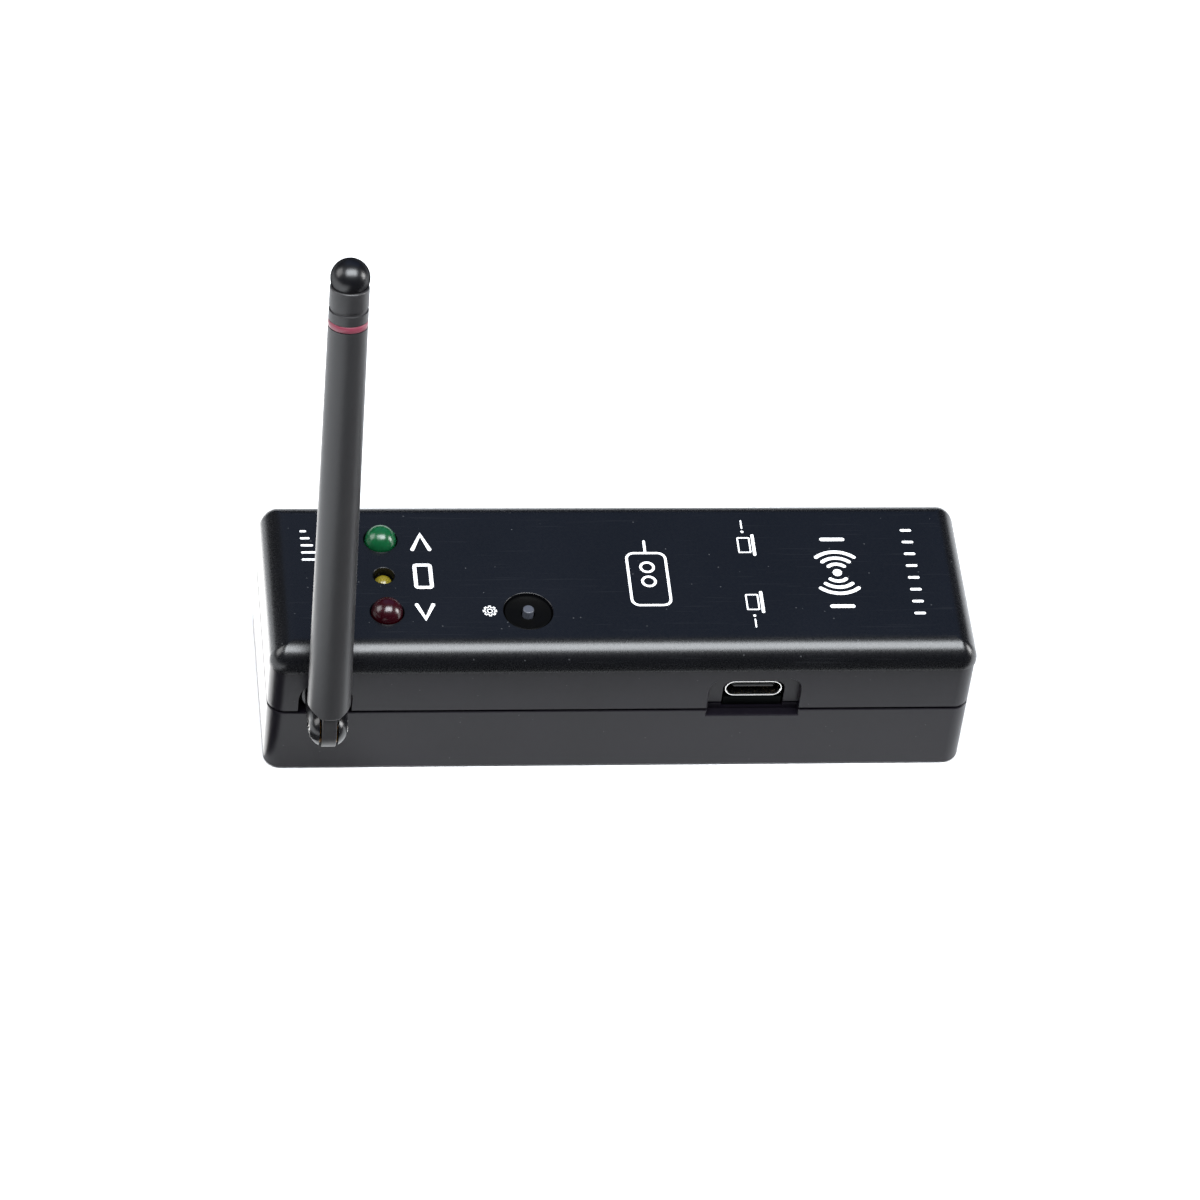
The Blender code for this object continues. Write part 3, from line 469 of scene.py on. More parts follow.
def finish(name, colour, roughness, metallic=0.0, drift=0.25, grain=0.02, size=2600.0, dust=0.0,
           rub=0.0, coat=0.0, spread=0.08, sockets=None):
    """Colour, roughness range and bump built from the shared effects.

    drift is how far the colour darkens in the slow noise, grain the bump height in mm,
    dust and rub how much those marks lighten it, and spread the change of roughness.
    """
    made = bpy.data.materials.new(name)
    made.use_nodes = True
    tree = made.node_tree
    shader = tree.nodes["Principled BSDF"]
    texture = place_group(tree, GRAIN, Size=size)
    darker = tuple(c * (1 - drift) for c in colour)
    shade = ramp(tree, texture.outputs["Shade"], 0.35, 0.65)
    base = mix_colour(tree, shade, darker, colour)
    if dust:
        mask = place_group(tree, SPECKS).outputs["Mask"]
        faint = node(tree, "ShaderNodeMath", operation="MULTIPLY")
        faint.inputs[1].default_value = dust
        tree.links.new(mask, faint.inputs[0])
        base = mix_colour(tree, faint.outputs[0], base, (0.45, 0.46, 0.48))
    if rub:
        mask = place_group(tree, RUBS).outputs["Mask"]
        faint = node(tree, "ShaderNodeMath", operation="MULTIPLY")
        faint.inputs[1].default_value = rub
        tree.links.new(mask, faint.inputs[0])
        base = mix_colour(tree, faint.outputs[0], base, (0.30, 0.31, 0.33))
    tree.links.new(base, shader.inputs["Base Color"])
    rough = node(tree, "ShaderNodeMapRange")
    rough.inputs["To Min"].default_value = max(roughness - spread, 0.02)
    rough.inputs["To Max"].default_value = min(roughness + spread, 1.0)
    tree.links.new(texture.outputs["Height"], rough.inputs["Value"])
    tree.links.new(rough.outputs["Result"], shader.inputs["Roughness"])
    bump = node(tree, "ShaderNodeBump")
    bump.inputs["Distance"].default_value = grain * MM
    bump.inputs["Strength"].default_value = 1.0
    tree.links.new(texture.outputs["Height"], bump.inputs["Height"])
    tree.links.new(bump.outputs["Normal"], shader.inputs["Normal"])
    shader.inputs["Metallic"].default_value = metallic
    shader.inputs["Coat Weight"].default_value = coat
    for label, value in (sockets or {}).items():
        shader.inputs[label].default_value = value
    return made



def paint_rim_shade(made):
    """Blend to a flat black where the surface turns away: painted shade on the rim, in place of the
    reflection the glossy surface would show there.
    """
    tree = made.node_tree
    shader = tree.nodes["Principled BSDF"]
    # painted shade: the flat black diffuse that replaces the rim's reflection
    painted_rim_shade = node(tree, "ShaderNodeBsdfDiffuse")
    painted_rim_shade.inputs["Color"].default_value = (0.004, 0.004, 0.005, 1)
    facing = node(tree, "ShaderNodeLayerWeight")
    facing.inputs["Blend"].default_value = 0.5
    share = ramp(tree, facing.outputs["Facing"], 0.25, 0.75)
    blend = node(tree, "ShaderNodeMixShader")
    tree.links.new(share, blend.inputs["Fac"])
    tree.links.new(shader.outputs["BSDF"], blend.inputs[1])
    tree.links.new(painted_rim_shade.outputs["BSDF"], blend.inputs[2])
    tree.links.new(blend.outputs["Shader"], tree.nodes["Material Output"].inputs["Surface"])


cover_finish = finish("cover_black", (0.0030, 0.0032, 0.0042), 0.28, grain=0.0006, size=3000,
                      dust=0.10, rub=0.01)
wall_finish = finish("wall_black", (0.0045, 0.0036, 0.0062), 0.34, grain=0.003, size=3000, dust=0.05,
                     sockets={"Specular IOR Level": 0.21})
antenna_finish = finish("antenna_grey", (0.018, 0.0175, 0.0185), 0.42, grain=0.003, size=4000, drift=0.12)
fork_finish = finish("fork_black", (0.005, 0.005, 0.006), 0.24, grain=0.001, size=4000)
ball_finish = finish("ball_black", (0.003, 0.003, 0.004), 0.30, grain=0.0005, size=4000, spread=0.03)
# The ball's rim gets painted shade: flat black where its reflection would be.
paint_rim_shade(ball_finish)
band_finish = finish("band_red", (0.20, 0.030, 0.055), 0.38, grain=0.003, size=4000)
button_finish = finish("button_black", (0.002, 0.002, 0.002), 0.35, grain=0.002, size=3500, drift=0.1,
                       sockets={"Specular IOR Level": 0.05})
pin_finish = finish("pin_grey", (0.055, 0.06, 0.075), 0.40, grain=0.004, size=3500)
ink_finish = finish("ink_white", (0.86, 0.87, 0.88), 0.55, grain=0.003, size=5000, drift=0.06)
steel_finish = finish("bright_steel", (0.74, 0.73, 0.71), 0.22, metallic=1.0, grain=0.002,
                      size=3000, drift=0.1)
brass_finish = finish("warm_brass", (0.80, 0.45, 0.16), 0.28, metallic=1.0, grain=0.002, size=3000)
gold_finish = finish("contact_gold", (0.90, 0.66, 0.30), 0.20, metallic=1.0, grain=0.001, size=3000)
resin_black = finish("resin_black", (0.012, 0.012, 0.013), 0.45, grain=0.004, size=3500)
can_finish = finish("tinned_can", (0.66, 0.67, 0.68), 0.34, metallic=1.0, grain=0.004, size=900)
board_finish = finish("board_mask", (0.0015, 0.002, 0.002), 0.45, grain=0.006, size=700, drift=0.5,
                      sockets={"Specular IOR Level": 0.03})


# %% [markdown]
# The lamps are clear tinted resin: light enters at the dome, and the dark well under it
# gives them their depth.  Transmission with a deep base colour does this without a map.

# %% Lamp resin
def resin(name, colour, clear, inner):
    """Tinted resin: clear is its Transmission Weight and inner its subsurface share."""
    made = finish(name, colour, 0.24, drift=0.15, grain=0.0001, size=1500, spread=0.03)
    shader = made.node_tree.nodes["Principled BSDF"]
    shader.inputs["Transmission Weight"].default_value = clear
    shader.inputs["Subsurface Weight"].default_value = inner
    shader.inputs["Subsurface Radius"].default_value = (1, 1, 1)
    shader.inputs["Subsurface Scale"].default_value = 1.0 * MM
    shader.inputs["IOR"].default_value = 1.53
    return made


green_resin = resin("resin_green", (0.004, 0.095, 0.030), 0.25, 0.3)
amber_resin = resin("resin_amber", (0.24, 0.19, 0.015), 0.15, 0.3)
red_resin = resin("resin_red", (0.030, 0.0006, 0.004), 0.40, 0.0)


# %% [markdown]
# `settle` is called for every piece: it gives the finish, names the body that carries the
# piece and hides the CAD solids it stands for.

# %% Settle a piece
def settle(piece, material, body, slot, *stands_for):
    """Finish a piece and tie it to its body."""
    piece.data.materials.clear()
    piece.data.materials.append(material)
    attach(piece, body)
    if stands_for:
        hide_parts(*stands_for)
    return piece


def centre_of(name):
    """The middle of a node's box."""
    low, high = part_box(name)
    return (np.array(low) + np.array(high)) / 2


# %% [markdown]
# ## The cover
# The upper shell: side walls, a small step, and a cover that rolls over through a quarter
# circle.  The profile lists the inner wall first, so the shell is one closed surface with
# real thickness, and it is cut where lamps, button, sockets and antenna come through.

# %% Openings shared by both shells
SOCKET = centre_of("usb_front_shell")
SOCKET_HALF = (np.array(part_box("usb_front_shell")[1]) - np.array(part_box("usb_front_shell")[0])) / 2
POCKET = (14.2 * MM, 11.4 * MM, 19.6 * MM, 2.8 * MM)
POCKET_DEPTH = 1.7 * MM
BARREL_RADIUS = (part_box("antenna_fork")[1][0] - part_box("antenna_fork")[0][0]) / 2
ARCH_RADIUS = BARREL_RADIUS + 0.3 * MM


def pocket_outline(half, low, high, radius):
    """A square-footed outline with round upper corners, as (x, z)."""
    right = arc((half - radius, high - radius), radius, 0, 90, 14)
    left = arc((radius - half, high - radius), radius, 90, 180, 14)
    return [(-half, low), (half, low), *right, *left]


def wall_tools():
    """Fresh tools for the two pockets, the two mouths and the antenna's round hole."""
    tools = []
    width, low, high, radius = POCKET
    for side in (-1, 1):
        face = side * (HALF_WIDTH + 0.5 * MM)
        floor = side * (HALF_WIDTH - POCKET_DEPTH)
        deep = side * (HALF_WIDTH - 9 * MM)
        mouth = pocket_outline(SOCKET_HALF[0] + 0.3 * MM, low + 0.4 * MM,
                               SOCKET[2] + SOCKET_HALF[2] + 0.3 * MM, 1.6 * MM)
        near, far = sorted((-face, -deep))
        tools.append(extruded("tool_mouth", mouth, near, far, ALONG_Y_FLAT, (SOCKET[0], 0, 0)))
        edge = side * (HALF_WIDTH - RIM_STEP - 0.15 * MM)
        rings = []
        for grow, y in ((0, floor), (0, edge), (abs(face - edge), face)):
            shape = np.array(pocket_outline(width / 2 + grow, low - grow, high + grow, radius + grow))
            rings.append(np.column_stack([shape[:, 0] + SOCKET[0], np.full(len(shape), y), shape[:, 1]]))
        tools.append(skin("tool_pocket", np.array(rings)))
    hole = [(ARCH_RADIUS, -5 * MM), (ARCH_RADIUS, 5 * MM)]
    tools.append(turned("tool_arch", hole, (HINGE[0], -HALF_WIDTH, HINGE[2]), ALONG_Y))
    return tools


# %% [markdown]
# The cover is one moulding: straight inner wall, rim, a small step in from the widest
# line, a quarter round and the flat top.  Holes are cut afterwards, so each keeps its lip.

# %% Cover
LAMPS = {name: centre_of(name) for name in ("lamp_green", "lamp_amber", "lamp_red")}
LAMP_HOLE = {"lamp_green": 2.6 * MM, "lamp_amber": 1.65 * MM, "lamp_red": 2.6 * MM}
BUTTON = centre_of("settings_button")


def make_cover():
    """Inner wall, rim, step, quarter round and flat top, then the cuts."""
    rim = TOP - COVER_RADIUS
    inner = RIM_STEP + WALL
    ceiling = TOP - 2.4 * MM
    roll = arc((COVER_RADIUS, rim), COVER_RADIUS, 180, 90, 28)
    edge = 0.12 * MM
    wall = [(inner, ceiling), (inner, PARTING_HIGH), (RIM_STEP + edge, PARTING_HIGH),
            (RIM_STEP, PARTING_HIGH + edge), (RIM_STEP, rim - edge), (RIM_STEP * 0.6, rim - edge / 3)]
    top = [(COVER_RADIUS + 0.1 * MM, TOP)]
    piece = shell("cover", wall + roll + top)
    tools = wall_tools()
    arch = [(-ARCH_RADIUS, PARTING_LOW - MM), (ARCH_RADIUS, PARTING_LOW - MM), (ARCH_RADIUS, HINGE[2]),
            (-ARCH_RADIUS, HINGE[2])]
    tools.append(extruded("tool_foot", arch, HALF_WIDTH - 4 * MM, HALF_WIDTH + MM, ALONG_Y_FLAT,
                          (HINGE[0], 0, 0)))
    for name, place in LAMPS.items():
        hole = flared_hole(LAMP_HOLE[name], ceiling - MM, TOP)
        tools.append(turned("tool_lamp", hole, (place[0], place[1], 0)))
    hole = flared_hole(3.8 * MM, ceiling - MM, TOP)
    tools.append(turned("tool_button", hole, (BUTTON[0], BUTTON[1], 0)))
    carve(piece, tools)
    return weigh_normals(piece)


cover = make_cover()
settle(cover, cover_finish, "case", "case_plastic", "top_shell")
cover.data.materials.append(wall_finish)
middles = np.array([face.center[:] for face in cover.data.polygons])
walls = middles[:, 2] < TOP - COVER_RADIUS - 0.05 * MM
cover.data.polygons.foreach_set("material_index", walls.astype(np.int32))
print("cover faces", len(cover.data.polygons))


# %% [markdown]
# ## The tray
# The lower shell is cut by the same tools.  Its base edge has a small round, and the two
# screw wells open downwards.

# %% Tray
def make_tray():
    """Base, wall and base edge, then the sockets, the arch and the screw wells."""
    inner = RIM_STEP + WALL
    edge = 0.12 * MM
    foot = arc((RIM_STEP + 0.6 * MM, 0.6 * MM), 0.6 * MM, 180, 270, 10)
    profile = [(inner, 2.2 * MM), (inner, PARTING_LOW), (RIM_STEP + edge, PARTING_LOW),
               (RIM_STEP, PARTING_LOW - edge), *foot, (RIM_STEP + 1.0 * MM, 0)]
    piece = shell("tray", profile)
    tools = wall_tools()
    for name in ("case_screw_left", "case_screw_right"):
        place = centre_of(name)
        well = [(2.6 * MM, -MM), (2.5 * MM, -0.01 * MM), (2.4 * MM, 0.1 * MM), (2.4 * MM, 3 * MM)]
        tools.append(turned("tool_well", well, (place[0], place[1], 0)))
    carve(piece, tools)
    return weigh_normals(piece)


tray = settle(make_tray(), wall_finish, "case", "case_plastic", "bottom_shell")

# %% [markdown]
# ## Lamps
# Each lamp is a turned profile: flange, straight side and a half-round nose.

# %% Lamps
for name, material in (("lamp_green", green_resin), ("lamp_amber", amber_resin), ("lamp_red", red_resin)):
    low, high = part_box(name)
    place = LAMPS[name]
    flange = (high[0] - low[0]) / 2
    radius = flange - 0.5 * MM
    tip = high[2]
    base = tip - 8.6 * MM * radius / (2.4 * MM)
    nose = arc((0, tip - radius), radius, 0, 90, 24)
    profile = [(0, base), (flange, base), (flange, base + 0.9 * MM), (radius, base + MM), *nose]
    lamp = turned(name.replace("lamp_", "lamp_dome_"), profile, (place[0], place[1], 0), sides=64)
    settle(lamp, material, "case", name, name)

# %% [markdown]
# ## Settings button
# A dished cap with a rounded lip and a small pin standing in its middle.  The dish is a
# parabola, so its highlight slides as the view turns.

# %% Button
def make_button():
    """Cap profile from the pin's bore out to the lip, and the pin as its own piece."""
    low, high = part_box("settings_button")
    pin_low, pin_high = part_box("button_pin")
    radius, rim, bore = 3.6 * MM, high[2], 1.05 * MM
    reach = np.linspace(bore, radius - 0.25 * MM, 16)
    depth = 0.4 * MM * (1 - ((reach - bore) / (reach[-1] - bore)) ** 2)
    dish = list(zip(reach, rim - depth))
    lip = arc((radius - 0.15 * MM, rim - 0.15 * MM), 0.15 * MM, 90, 0, 6)
    skirt = rim - 2.4 * MM
    stem = [(1.6 * MM, skirt - 0.9 * MM), (1.6 * MM, low[2]), (bore, low[2])]
    flange = [(radius, skirt), (radius + 0.9 * MM, skirt), (radius + 0.9 * MM, skirt - 0.9 * MM)]
    place = (BUTTON[0], BUTTON[1], 0)
    cap = turned("button_cap", [*dish, *lip, *flange, *stem], place, loop=True)
    settle(cap, button_finish, "button", "button_black", "settings_button")
    crown = arc((0.65 * MM, pin_high[2] - 0.2 * MM), 0.2 * MM, 0, 90, 6)
    nub = [(0, pin_low[2]), (0.85 * MM, pin_low[2]), *crown, (0, pin_high[2])]
    pin = turned("button_nub", nub, place, sides=48)
    settle(pin, pin_finish, "button", "pin_grey", "button_pin")


make_button()

# %% [markdown]
# ## USB-C sockets
# A drawn steel oval with a rolled lip, a black blade inside it, and twelve gold contacts
# on each face of the blade.

# %% Sockets
def oval(half_x, half_z, steps=14):
    """Two half circles joined by straight runs, as (x, z)."""
    reach = half_x - half_z
    return [*arc((reach, 0), half_z, -90, 90, steps), *arc((-reach, 0), half_z, 90, 270, steps)]


def make_socket(side, label):
    """Steel shell as a loop of ovals from inside to outside, then blade and contacts."""
    low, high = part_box(f"usb_{label}_shell")
    middle = (np.array(low) + np.array(high)) / 2
    half_x, half_z = (high[0] - low[0]) / 2, (high[2] - low[2]) / 2
    mouth = low[1] if side < 0 else high[1]
    back = high[1] if side < 0 else low[1]
    into = np.sign(back - mouth)
    sheet_gauge, lip = 0.3 * MM, 0.1 * MM
    stack = [(sheet_gauge, back), (sheet_gauge, mouth + into * lip), (0.2 * MM, mouth), (0.1 * MM, mouth),
             (0, mouth + into * lip), (0, back)]
    rings = []
    for inset, y in stack:
        flat = np.array(oval(half_x - inset, half_z - inset))
        rings.append(np.column_stack([flat[:, 0] + middle[0], np.full(len(flat), y), flat[:, 1] + middle[2]]))
    steel = skin(f"socket_{label}_shell", np.array(rings), loop=True)
    settle(steel, steel_finish, "case", "steel", f"usb_{label}_shell")
    root = back - into * 1.5 * MM
    tip = mouth + into * 0.6 * MM
    blade_stack = [(3.1 * MM, 0.15 * MM, tip), (3.3 * MM, 0.33 * MM, tip + into * 0.3 * MM),
                   (3.3 * MM, 0.33 * MM, root),
                   (3.9 * MM, 1.1 * MM, root), (3.9 * MM, 1.1 * MM, back - into * 0.35 * MM)]
    rings = []
    for half_wide, half_thick, y in blade_stack:
        flat = np.array(oval(half_wide, half_thick, 8))
        rings.append(np.column_stack([flat[:, 0] + middle[0], np.full(len(flat), y), flat[:, 1] + middle[2]]))
    blade = skin(f"socket_{label}_blade", np.array(rings))
    settle(blade, resin_black, "case", "black_plastic", f"usb_{label}_tongue")
    pitch, half = 0.5 * MM, 0.13 * MM
    strips = [[(x - half, z), (x + half, z), (x + half, z + 0.05 * MM), (x - half, z + 0.05 * MM)]
              for z in (0.33 * MM, -0.38 * MM) for x in (np.arange(12) - 5.5) * pitch]
    near, far = sorted((-tip - into * 0.5 * MM, -tip - into * 3.6 * MM))
    pads = [extruded(f"pad_{i}", strip, near, far, ALONG_Y_FLAT, (middle[0], 0, middle[2]))
            for i, strip in enumerate(strips)]
    contacts = join_pieces(f"socket_{label}_contacts", pads)
    settle(contacts, gold_finish, "case", "brass")


def join_pieces(name, parts):
    """Put several meshes into one object, kept as separate bodies."""
    work = bmesh.new()
    for part in parts:
        work.from_mesh(part.data)
        bpy.data.objects.remove(part)
    mesh = bpy.data.meshes.new(name)
    work.to_mesh(mesh)
    work.free()
    made = bpy.data.objects.new(name, mesh)
    scene.collection.objects.link(made)
    return smooth(made)


make_socket(-1, "front")
make_socket(1, "back")

# %% [markdown]
# ## Antenna
# The foot is a round bar flattened into two ears.  The sleeve's tongue swings between
# them on a pin, with a thin brass washer at each side.  Sizes along the sleeve are
# distances from the pin.

# %% Antenna foot
EAR = 2.9 * MM
NECK = 1.8 * MM
SLOT = 1.45 * MM
PIN = 1.0 * MM
PIN_REACH = (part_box("hinge_pin")[1][0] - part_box("hinge_pin")[0][0]) / 2
BAR = math.hypot(PIN_REACH, PIN)
BARREL = 6.6 * MM


def make_foot():
    """Side outline carried across X, kept where it meets a round-nosed bar, then slotted.

    The bar's nose is a half ellipsoid about the pin, so the two ears read as one cup.
    """
    start = math.degrees(math.asin(NECK / EAR))
    side = [(7.2 * MM, NECK), *arc((0, 0), EAR, start, 360 - start, 60), (7.2 * MM, -NECK)]
    foot = extruded("antenna_foot", side, -4 * MM, 4 * MM, ALONG_X, HINGE)
    nose = [(BAR * math.cos(t), EAR * math.sin(t)) for t in np.linspace(-math.pi / 2, 0, 24)]
    bar = turned("tool_bar", [*nose, (BAR, 7.5 * MM)], HINGE, ALONG_Y)
    carve(foot, [bar], "INTERSECT")
    groove = BARREL_RADIUS - MM
    barrel = turned("tool_barrel", [(BARREL_RADIUS - 0.3 * MM, BARREL), (BARREL_RADIUS, BARREL + 0.3 * MM),
                                    (BARREL_RADIUS, 7.9 * MM), (groove, 7.9 * MM), (groove, 9.2 * MM),
                                    (BARREL_RADIUS, 9.2 * MM), (BARREL_RADIUS - 0.2 * MM, 10.6 * MM)],
                    HINGE, ALONG_Y)
    carve(foot, [barrel], "UNION")
    slot = [(-SLOT, -4 * MM), (SLOT, -4 * MM), (SLOT, 4 * MM), (-SLOT, 4 * MM)]
    slot_tool = extruded("tool_slot", slot, -3.75 * MM, 4 * MM, ALONG_Y_FLAT, HINGE)
    pin_tool = turned("tool_pin", [(PIN + 0.1 * MM, -5 * MM), (PIN + 0.1 * MM, 5 * MM)], HINGE, ALONG_X)
    bore_tool = turned("tool_bore", [(0.85 * MM, 0), (0.85 * MM, 12 * MM)], HINGE, ALONG_Y)
    carve(foot, [slot_tool, pin_tool, bore_tool])
    bevel = foot.modifiers.new("Edge", "BEVEL")
    bevel.width = 0.18 * MM
    bevel.segments = 3
    bevel.limit_method = "ANGLE"
    bevel.angle_limit = math.radians(40)
    apply_all(foot)
    return weigh_normals(foot)


settle(make_foot(), fork_finish, "fork", "antenna_plastic", "antenna_fork")

# %% [markdown]
# The sleeve is one long turned taper that leans with the hinge.  Its foot slopes on both
# sides down to the flat tongue, so it can fold between the two ears of the foot.

# %% Sleeve, band and ball
START, SLEEVE_TOP = 3.2 * MM, 76.2 * MM
WIDE, SLIM = 3.3 * MM, 2.9 * MM


def sleeve_radius(height):
    """The sleeve narrows evenly from its foot to its top."""
    return WIDE + (SLIM - WIDE) * (height - START) / (SLEEVE_TOP - START)


def make_sleeve():
    """Long taper with a seat for the band, a shallow groove and a soft foot edge."""
    band_low, band_high = SLEEVE_TOP - 6.5 * MM, SLEEVE_TOP - 5.3 * MM
    groove = SLEEVE_TOP - 3.45 * MM
    cut = 0.25 * MM
    foot = arc((WIDE - 0.35 * MM, START + 0.35 * MM), 0.35 * MM, -90, 0, 8)
    seat = [(sleeve_radius(band_low), band_low), (sleeve_radius(band_low) - 0.5 * MM, band_low),
            (sleeve_radius(band_high) - 0.5 * MM, band_high), (sleeve_radius(band_high), band_high)]
    dip = [(sleeve_radius(groove + h) - d, groove + h) for h, d in
           ((-0.35 * MM, 0), (-0.25 * MM, cut * 0.8), (0, cut), (0.25 * MM, cut * 0.8), (0.35 * MM, 0))]
    crown = arc((SLIM - 0.3 * MM, SLEEVE_TOP - 0.3 * MM), 0.3 * MM, 0, 90, 6)
    bore = [(1.2 * MM, SLEEVE_TOP), (1.2 * MM, 6 * MM), (0, 6 * MM)]
    profile = [(0, START), *foot, *seat, *dip, *crown, *bore]
    sleeve = turned("sleeve", profile, HINGE, LEANING, sides=128)
    tongue_side = [*arc((0, 0), EAR, 180, 360, 40), (EAR, 3.8 * MM), (-EAR, 3.8 * MM)]
    tongue = extruded("tool_tongue", tongue_side, -1.1 * MM, 1.1 * MM, ALONG_X @ LEANING, HINGE)
    bevel = tongue.modifiers.new("Edge", "BEVEL")
    bevel.width = 0.15 * MM
    bevel.segments = 3
    bevel.limit_method = "ANGLE"
    carve(sleeve, [apply_all(tongue)], "UNION")
    shoulder = [(1.15 * MM, START - MM), (5 * MM, START - MM), (5 * MM, START + 2.6 * MM),
                (1.15 * MM, START)]
    for side in (1, -1):
        wedge = [(side * x, z) for x, z in shoulder][::side]
        carve(sleeve, [extruded("tool_wedge", wedge, -5 * MM, 5 * MM, ALONG_Y_FLAT @ LEANING, HINGE)])
    pin_tool = turned("tool_pin", [(PIN + 0.1 * MM, -5 * MM), (PIN + 0.1 * MM, 5 * MM)], HINGE, ALONG_X)
    carve(sleeve, [pin_tool])
    settle(weigh_normals(sleeve), antenna_finish, "antenna", "antenna_plastic", "antenna_sleeve")
    low, high = band_low + 0.1 * MM, band_high - 0.1 * MM
    outer, inner, soft = sleeve_radius(high), sleeve_radius(high) - 0.4 * MM, 0.06 * MM
    edge = [(inner, low), (outer - soft, low), (outer, low + soft), (outer, high - soft),
            (outer - soft, high), (inner, high)]
    band = turned("sleeve_band", edge, HINGE, LEANING, 128, True, 60)
    settle(band, band_finish, "antenna", "ring_red", "antenna_ring")
    centre = SLEEVE_TOP + 1.3 * MM
    base = SLEEVE_TOP + 0.1 * MM
    start = -math.degrees(math.asin((centre - base) / SLIM))
    ball = turned("ball_tip", [(0, base), *arc((0, centre), SLIM, start, 90, 40)], HINGE, LEANING)
    settle(ball, ball_finish, "antenna", "tip_black", "antenna_tip")


make_sleeve()
print("sleeve from", START, "to", SLEEVE_TOP, "above the hinge, radius", WIDE, "to", SLIM)

# %% [markdown]
# Two thin washers fill the gap between the tongue and the ears, and one pin with rounded
# ends carries all of them.  The washers turn with the sleeve and the pin with the foot.

# %% Washers and pin
for label, side in (("left", -1), ("right", 1)):
    near, far = sorted((side * 1.2 * MM, side * 1.35 * MM))
    profile = [(1.1 * MM, near), (2.2 * MM, near), (2.25 * MM, (near + far) / 2), (2.2 * MM, far),
               (1.1 * MM, far)]
    washer = turned(f"washer_{label}", profile, HINGE, ALONG_X, 64, True)
    settle(washer, brass_finish, "antenna", "brass", f"hinge_washer_{label}")
SOFT_END = 0.2 * MM
half = [(PIN, PIN_REACH - SOFT_END), (PIN - SOFT_END, PIN_REACH), (0, PIN_REACH)]
ends = [(r, -h) for r, h in reversed(half)] + half
settle(turned("pin", ends, HINGE, ALONG_X, 48), steel_finish, "fork", "steel", "hinge_pin")

# %% [markdown]
# ## Printed marks
# The white marks are a screen print, a few hundredths of a millimetre thick.  Each stroke
# is a ribbon: the path's points, a left and a right edge at half the stroke's width, and
# ends that narrow as a half circle does.

# %% Ribbons
INK = 0.03 * MM
ink_level = [0.0]


def ribbon(points, width, closed=False):
    """A flat stroke of even width along (x, y) points in mm, with round ends.

    The edges lie half a width to each side along the mean normal of the two runs that
    meet at a point.  A round end is six more stations whose half width is the cosine of
    the angle by which they run on.  Each ribbon lies a hair over the one before it.
    """
    path = np.array(points, float) * MM
    half = width * MM / 2
    if closed:
        before, after = np.roll(path, 1, 0), np.roll(path, -1, 0)
    else:
        before = np.vstack([path[0] * 2 - path[1], path[:-1]])
        after = np.vstack([path[1:], path[-1] * 2 - path[-2]])
    one = (path - before) / np.linalg.norm(path - before, axis=1)[:, None]
    two = (after - path) / np.linalg.norm(after - path, axis=1)[:, None]
    along = (one + two) / np.linalg.norm(one + two, axis=1)[:, None]
    normal = np.stack([-along[:, 1], along[:, 0]], -1)
    stretch = np.minimum(1 / np.maximum((one * along).sum(1), 0.5), 1.6)
    reach = np.full(len(path), half) * stretch
    if not closed:
        angle = np.linspace(0, np.pi / 2 * 0.97, 7)[1:]
        run, narrow = half * np.sin(angle), half * np.cos(angle)
        first = path[0] - one[1] * run[::-1, None] if len(path) > 1 else path[:1]
        last = path[-1] + two[-2] * run[:, None]
        path = np.vstack([first, path, last])
        normal = np.vstack([np.repeat(normal[:1], 6, 0), normal, np.repeat(normal[-1:], 6, 0)])
        reach = np.concatenate([narrow[::-1], reach, narrow])
    ink_level[0] += 0.0004 * MM
    low, high = TOP - 0.01 * MM, TOP + INK + ink_level[0]
    left, right = path + normal * reach[:, None], path - normal * reach[:, None]
    corners = [(left, low), (right, low), (right, high), (left, high)]
    rings = np.stack([np.column_stack([edge, np.full(len(edge), z)]) for edge, z in corners], 1)
    return skin("stroke", rings, loop=closed)


def ellipse(x, y, a, b, tilt=0.0, steps=20):
    """A tilted ellipse about (x, y)."""
    turn = np.linspace(0, 2 * np.pi, steps, endpoint=False)
    c, s = math.cos(math.radians(tilt)), math.sin(math.radians(tilt))
    return np.stack([x + a * np.cos(turn) * c - b * np.sin(turn) * s,
                     y + a * np.cos(turn) * s + b * np.sin(turn) * c], -1)


def rounded_box(x, y, half_x, half_y, radius, tilt=0.0):
    """A rounded rectangle about (x, y), turned by tilt degrees."""
    corners = []
    for k, (a, b) in enumerate(((1, 1), (-1, 1), (-1, -1), (1, -1))):
        corners += arc((a * (half_x - radius), b * (half_y - radius)), radius, 90 * k, 90 * k + 90, 6)
    c, s = math.cos(math.radians(tilt)), math.sin(math.radians(tilt))
    return [(x + p * c - q * s, y + p * s + q * c) for p, q in corners]


def print_mark(name, strokes):
    """Join strokes into one printed piece on the cover."""
    piece = join_pieces(name, strokes)
    return settle(piece, ink_finish, "case", "case_plastic")


# %% [markdown]
# The signs beside the lamps and the button are stock control symbols: two chevrons, a
# frame and a toothed wheel.  Each is a thin ribbon, so the ink has an edge of its own.

# %% Forward, blank and back, and the settings wheel
print_mark("print_forward", [ribbon([(-31.35, 5.45), (-29.98, 8.6), (-28.72, 5.45)], 0.60)])
print_mark("print_blank", [ribbon(rounded_box(-30.1, -0.2, 1.2, 2.35, 0.35), 0.58, True)])
print_mark("print_back", [ribbon([(-31.5, -6.2), (-30.3, -9.1), (-29.0, -6.2)], 0.60)])


def wheel(x, y, inner, outer, teeth=8):
    """A toothed outline: the radius steps between inner and outer eight times."""
    phase = np.repeat(np.arange(teeth), 4) + np.tile([-0.30, -0.18, 0.18, 0.30], teeth)
    radius = np.tile([inner, outer, outer, inner], teeth)
    turn = phase * 2 * np.pi / teeth
    return np.stack([x + radius * np.cos(turn), y + radius * np.sin(turn)], -1)


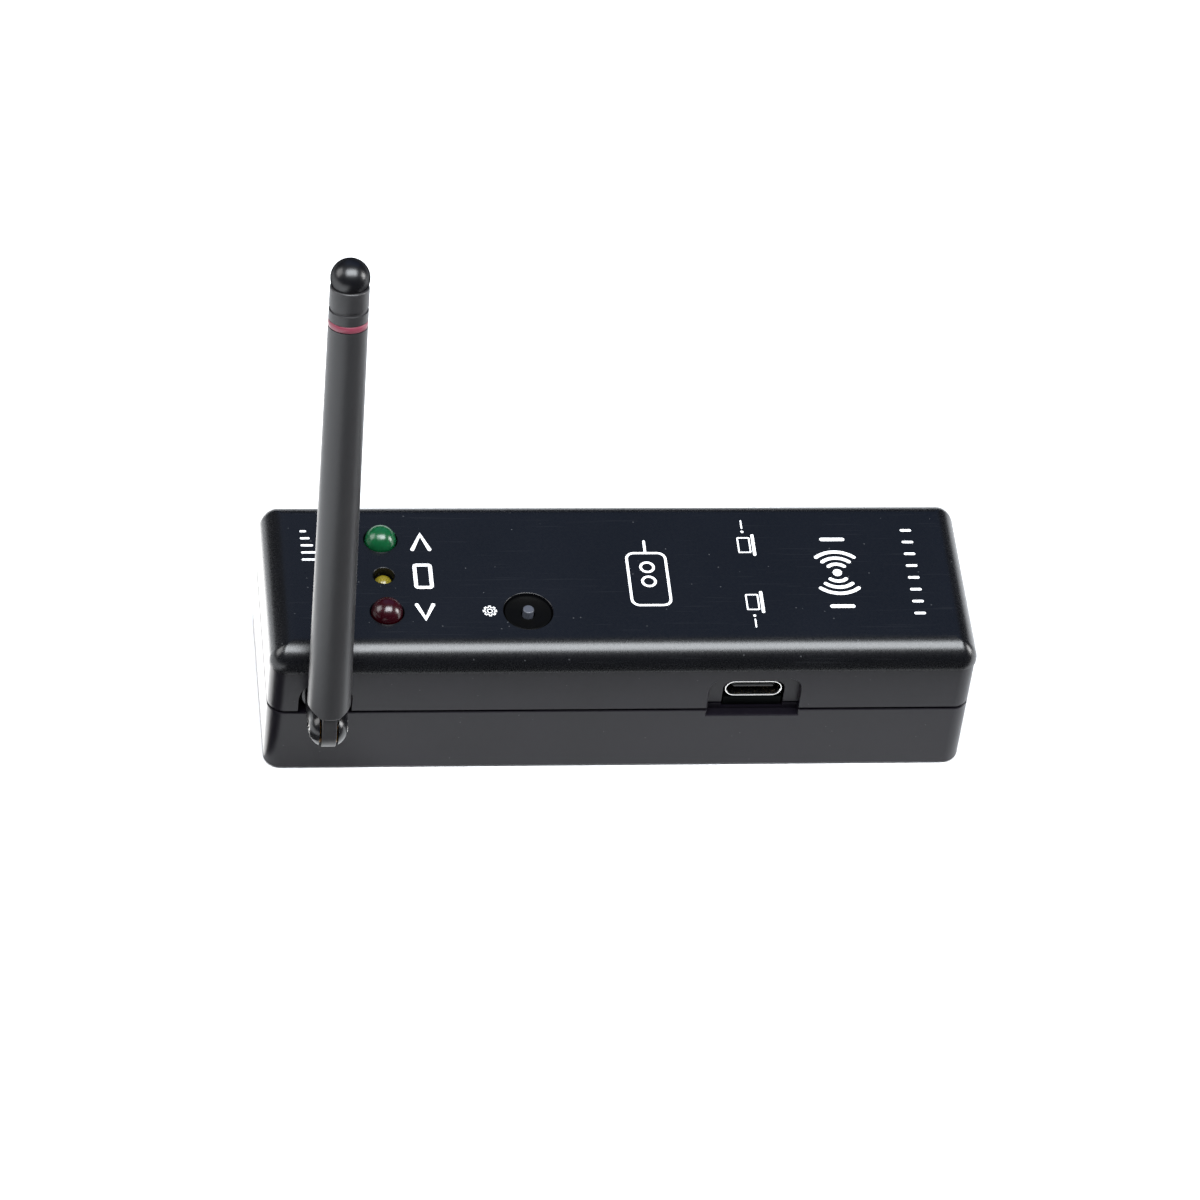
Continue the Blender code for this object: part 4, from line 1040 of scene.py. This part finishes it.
print_mark("print_wheel", [ribbon(wheel(-20.45, -7.55, 0.74, 1.02), 0.15, True),
                           ribbon(ellipse(-20.45, -7.55, 0.38, 0.38), 0.14, True)])

# %% [markdown]
# One small computer points its lead at each long wall, where the two sockets are.

# %% Computers and their leads, one towards each long wall
strokes = []
for base, side in ((6.15, 1), (-5.95, -1)):
    strokes.append(ribbon(rounded_box(20.03, base, 0.9, 1.55, 0.12), 0.24, True))
    strokes.append(ribbon([(21.5, base - 2.05), (21.5, base + 2.05)], 0.5))
    strokes.append(ribbon([(20.05, base + side * 3.6), (20.05, base + side * 5.2)], 0.24))
    strokes.append(ribbon(ellipse(20.05, base + side * 2.85, 0.12, 0.12, steps=12), 0.24, True))
print_mark("print_computers", strokes)

# %% [markdown]
# Eight equal bars in a row need only a start, a spacing and a length.

# %% Eight short bars at the right
print_mark("print_bars", [ribbon([(45.05, 9.21 - 2.52 * i), (46.35, 9.21 - 2.52 * i)], 0.5)
                          for i in range(8)])

# %% [markdown]
# The large mark is a plain sign for a radio link: a dot with arcs to both sides, set
# between two solid bars.  The small one beside the antenna is a row of rising bars.

# %% Link sign and signal bars
strokes = [ribbon(ellipse(33.9, 0.2, 0.35, 0.35), 0.75, True)]
for reach in (1.8, 3.1, 4.4):
    for start in (48, 228):
        strokes.append(ribbon(np.array(arc((33.9, 0.2), reach, start, start + 84, 12)), 0.62))
for end in (7.3, -6.9):
    strokes.append(ribbon([(32.3, end), (35.5, end)], 0.7))
print_mark("print_link", strokes)
print_mark("print_signal", [ribbon([(-48.2, 9.4 - 1.5 * i), (-47.6 + 0.45 * i, 9.4 - 1.5 * i)], 0.42)
                            for i in range(5)])

# %% [markdown]
# A plain upright handset stands in the middle of the cover: a rounded body, two round
# keys and a short aerial.  It is a stock sign, so its sizes are round numbers.

# %% Handset sign
SIGN_X, SIGN_Y = 4.5, -1.0
SIGN_HALF = (3.0, 5.5)
SIGN_LINE = 0.4
strokes = [ribbon(rounded_box(SIGN_X, SIGN_Y, *SIGN_HALF, 1.2, 0), SIGN_LINE, True)]
strokes += [ribbon(ellipse(SIGN_X, SIGN_Y + rise, 1.0, 1.0), SIGN_LINE, True) for rise in (2.5, -0.5)]
strokes.append(ribbon([(SIGN_X, SIGN_Y + SIGN_HALF[1]), (SIGN_X, SIGN_Y + SIGN_HALF[1] + 2.5)], SIGN_LINE))
print_mark("print_handset", strokes)

# %% [markdown]
# ## What the case holds
# The CAD solids that show only through an opening or on the base keep their shape and
# take a finish of their own.

# %% Inner pieces
for name, material in {
    "circuit_board": board_finish, "button_switch": resin_black, "radio_shield": can_finish,
    "processor": resin_black, "crystal": steel_finish, "case_screw_left": steel_finish,
    "case_screw_right": steel_finish, "board_screw_left": steel_finish, "board_screw_right": steel_finish,
    "antenna_cable": resin_black, "cable_plug": gold_finish, "barrel_clip": steel_finish,
    "antenna_radiator": brass_finish,
}.items():
    nodes[name].data.materials.clear()
    nodes[name].data.materials.append(material)
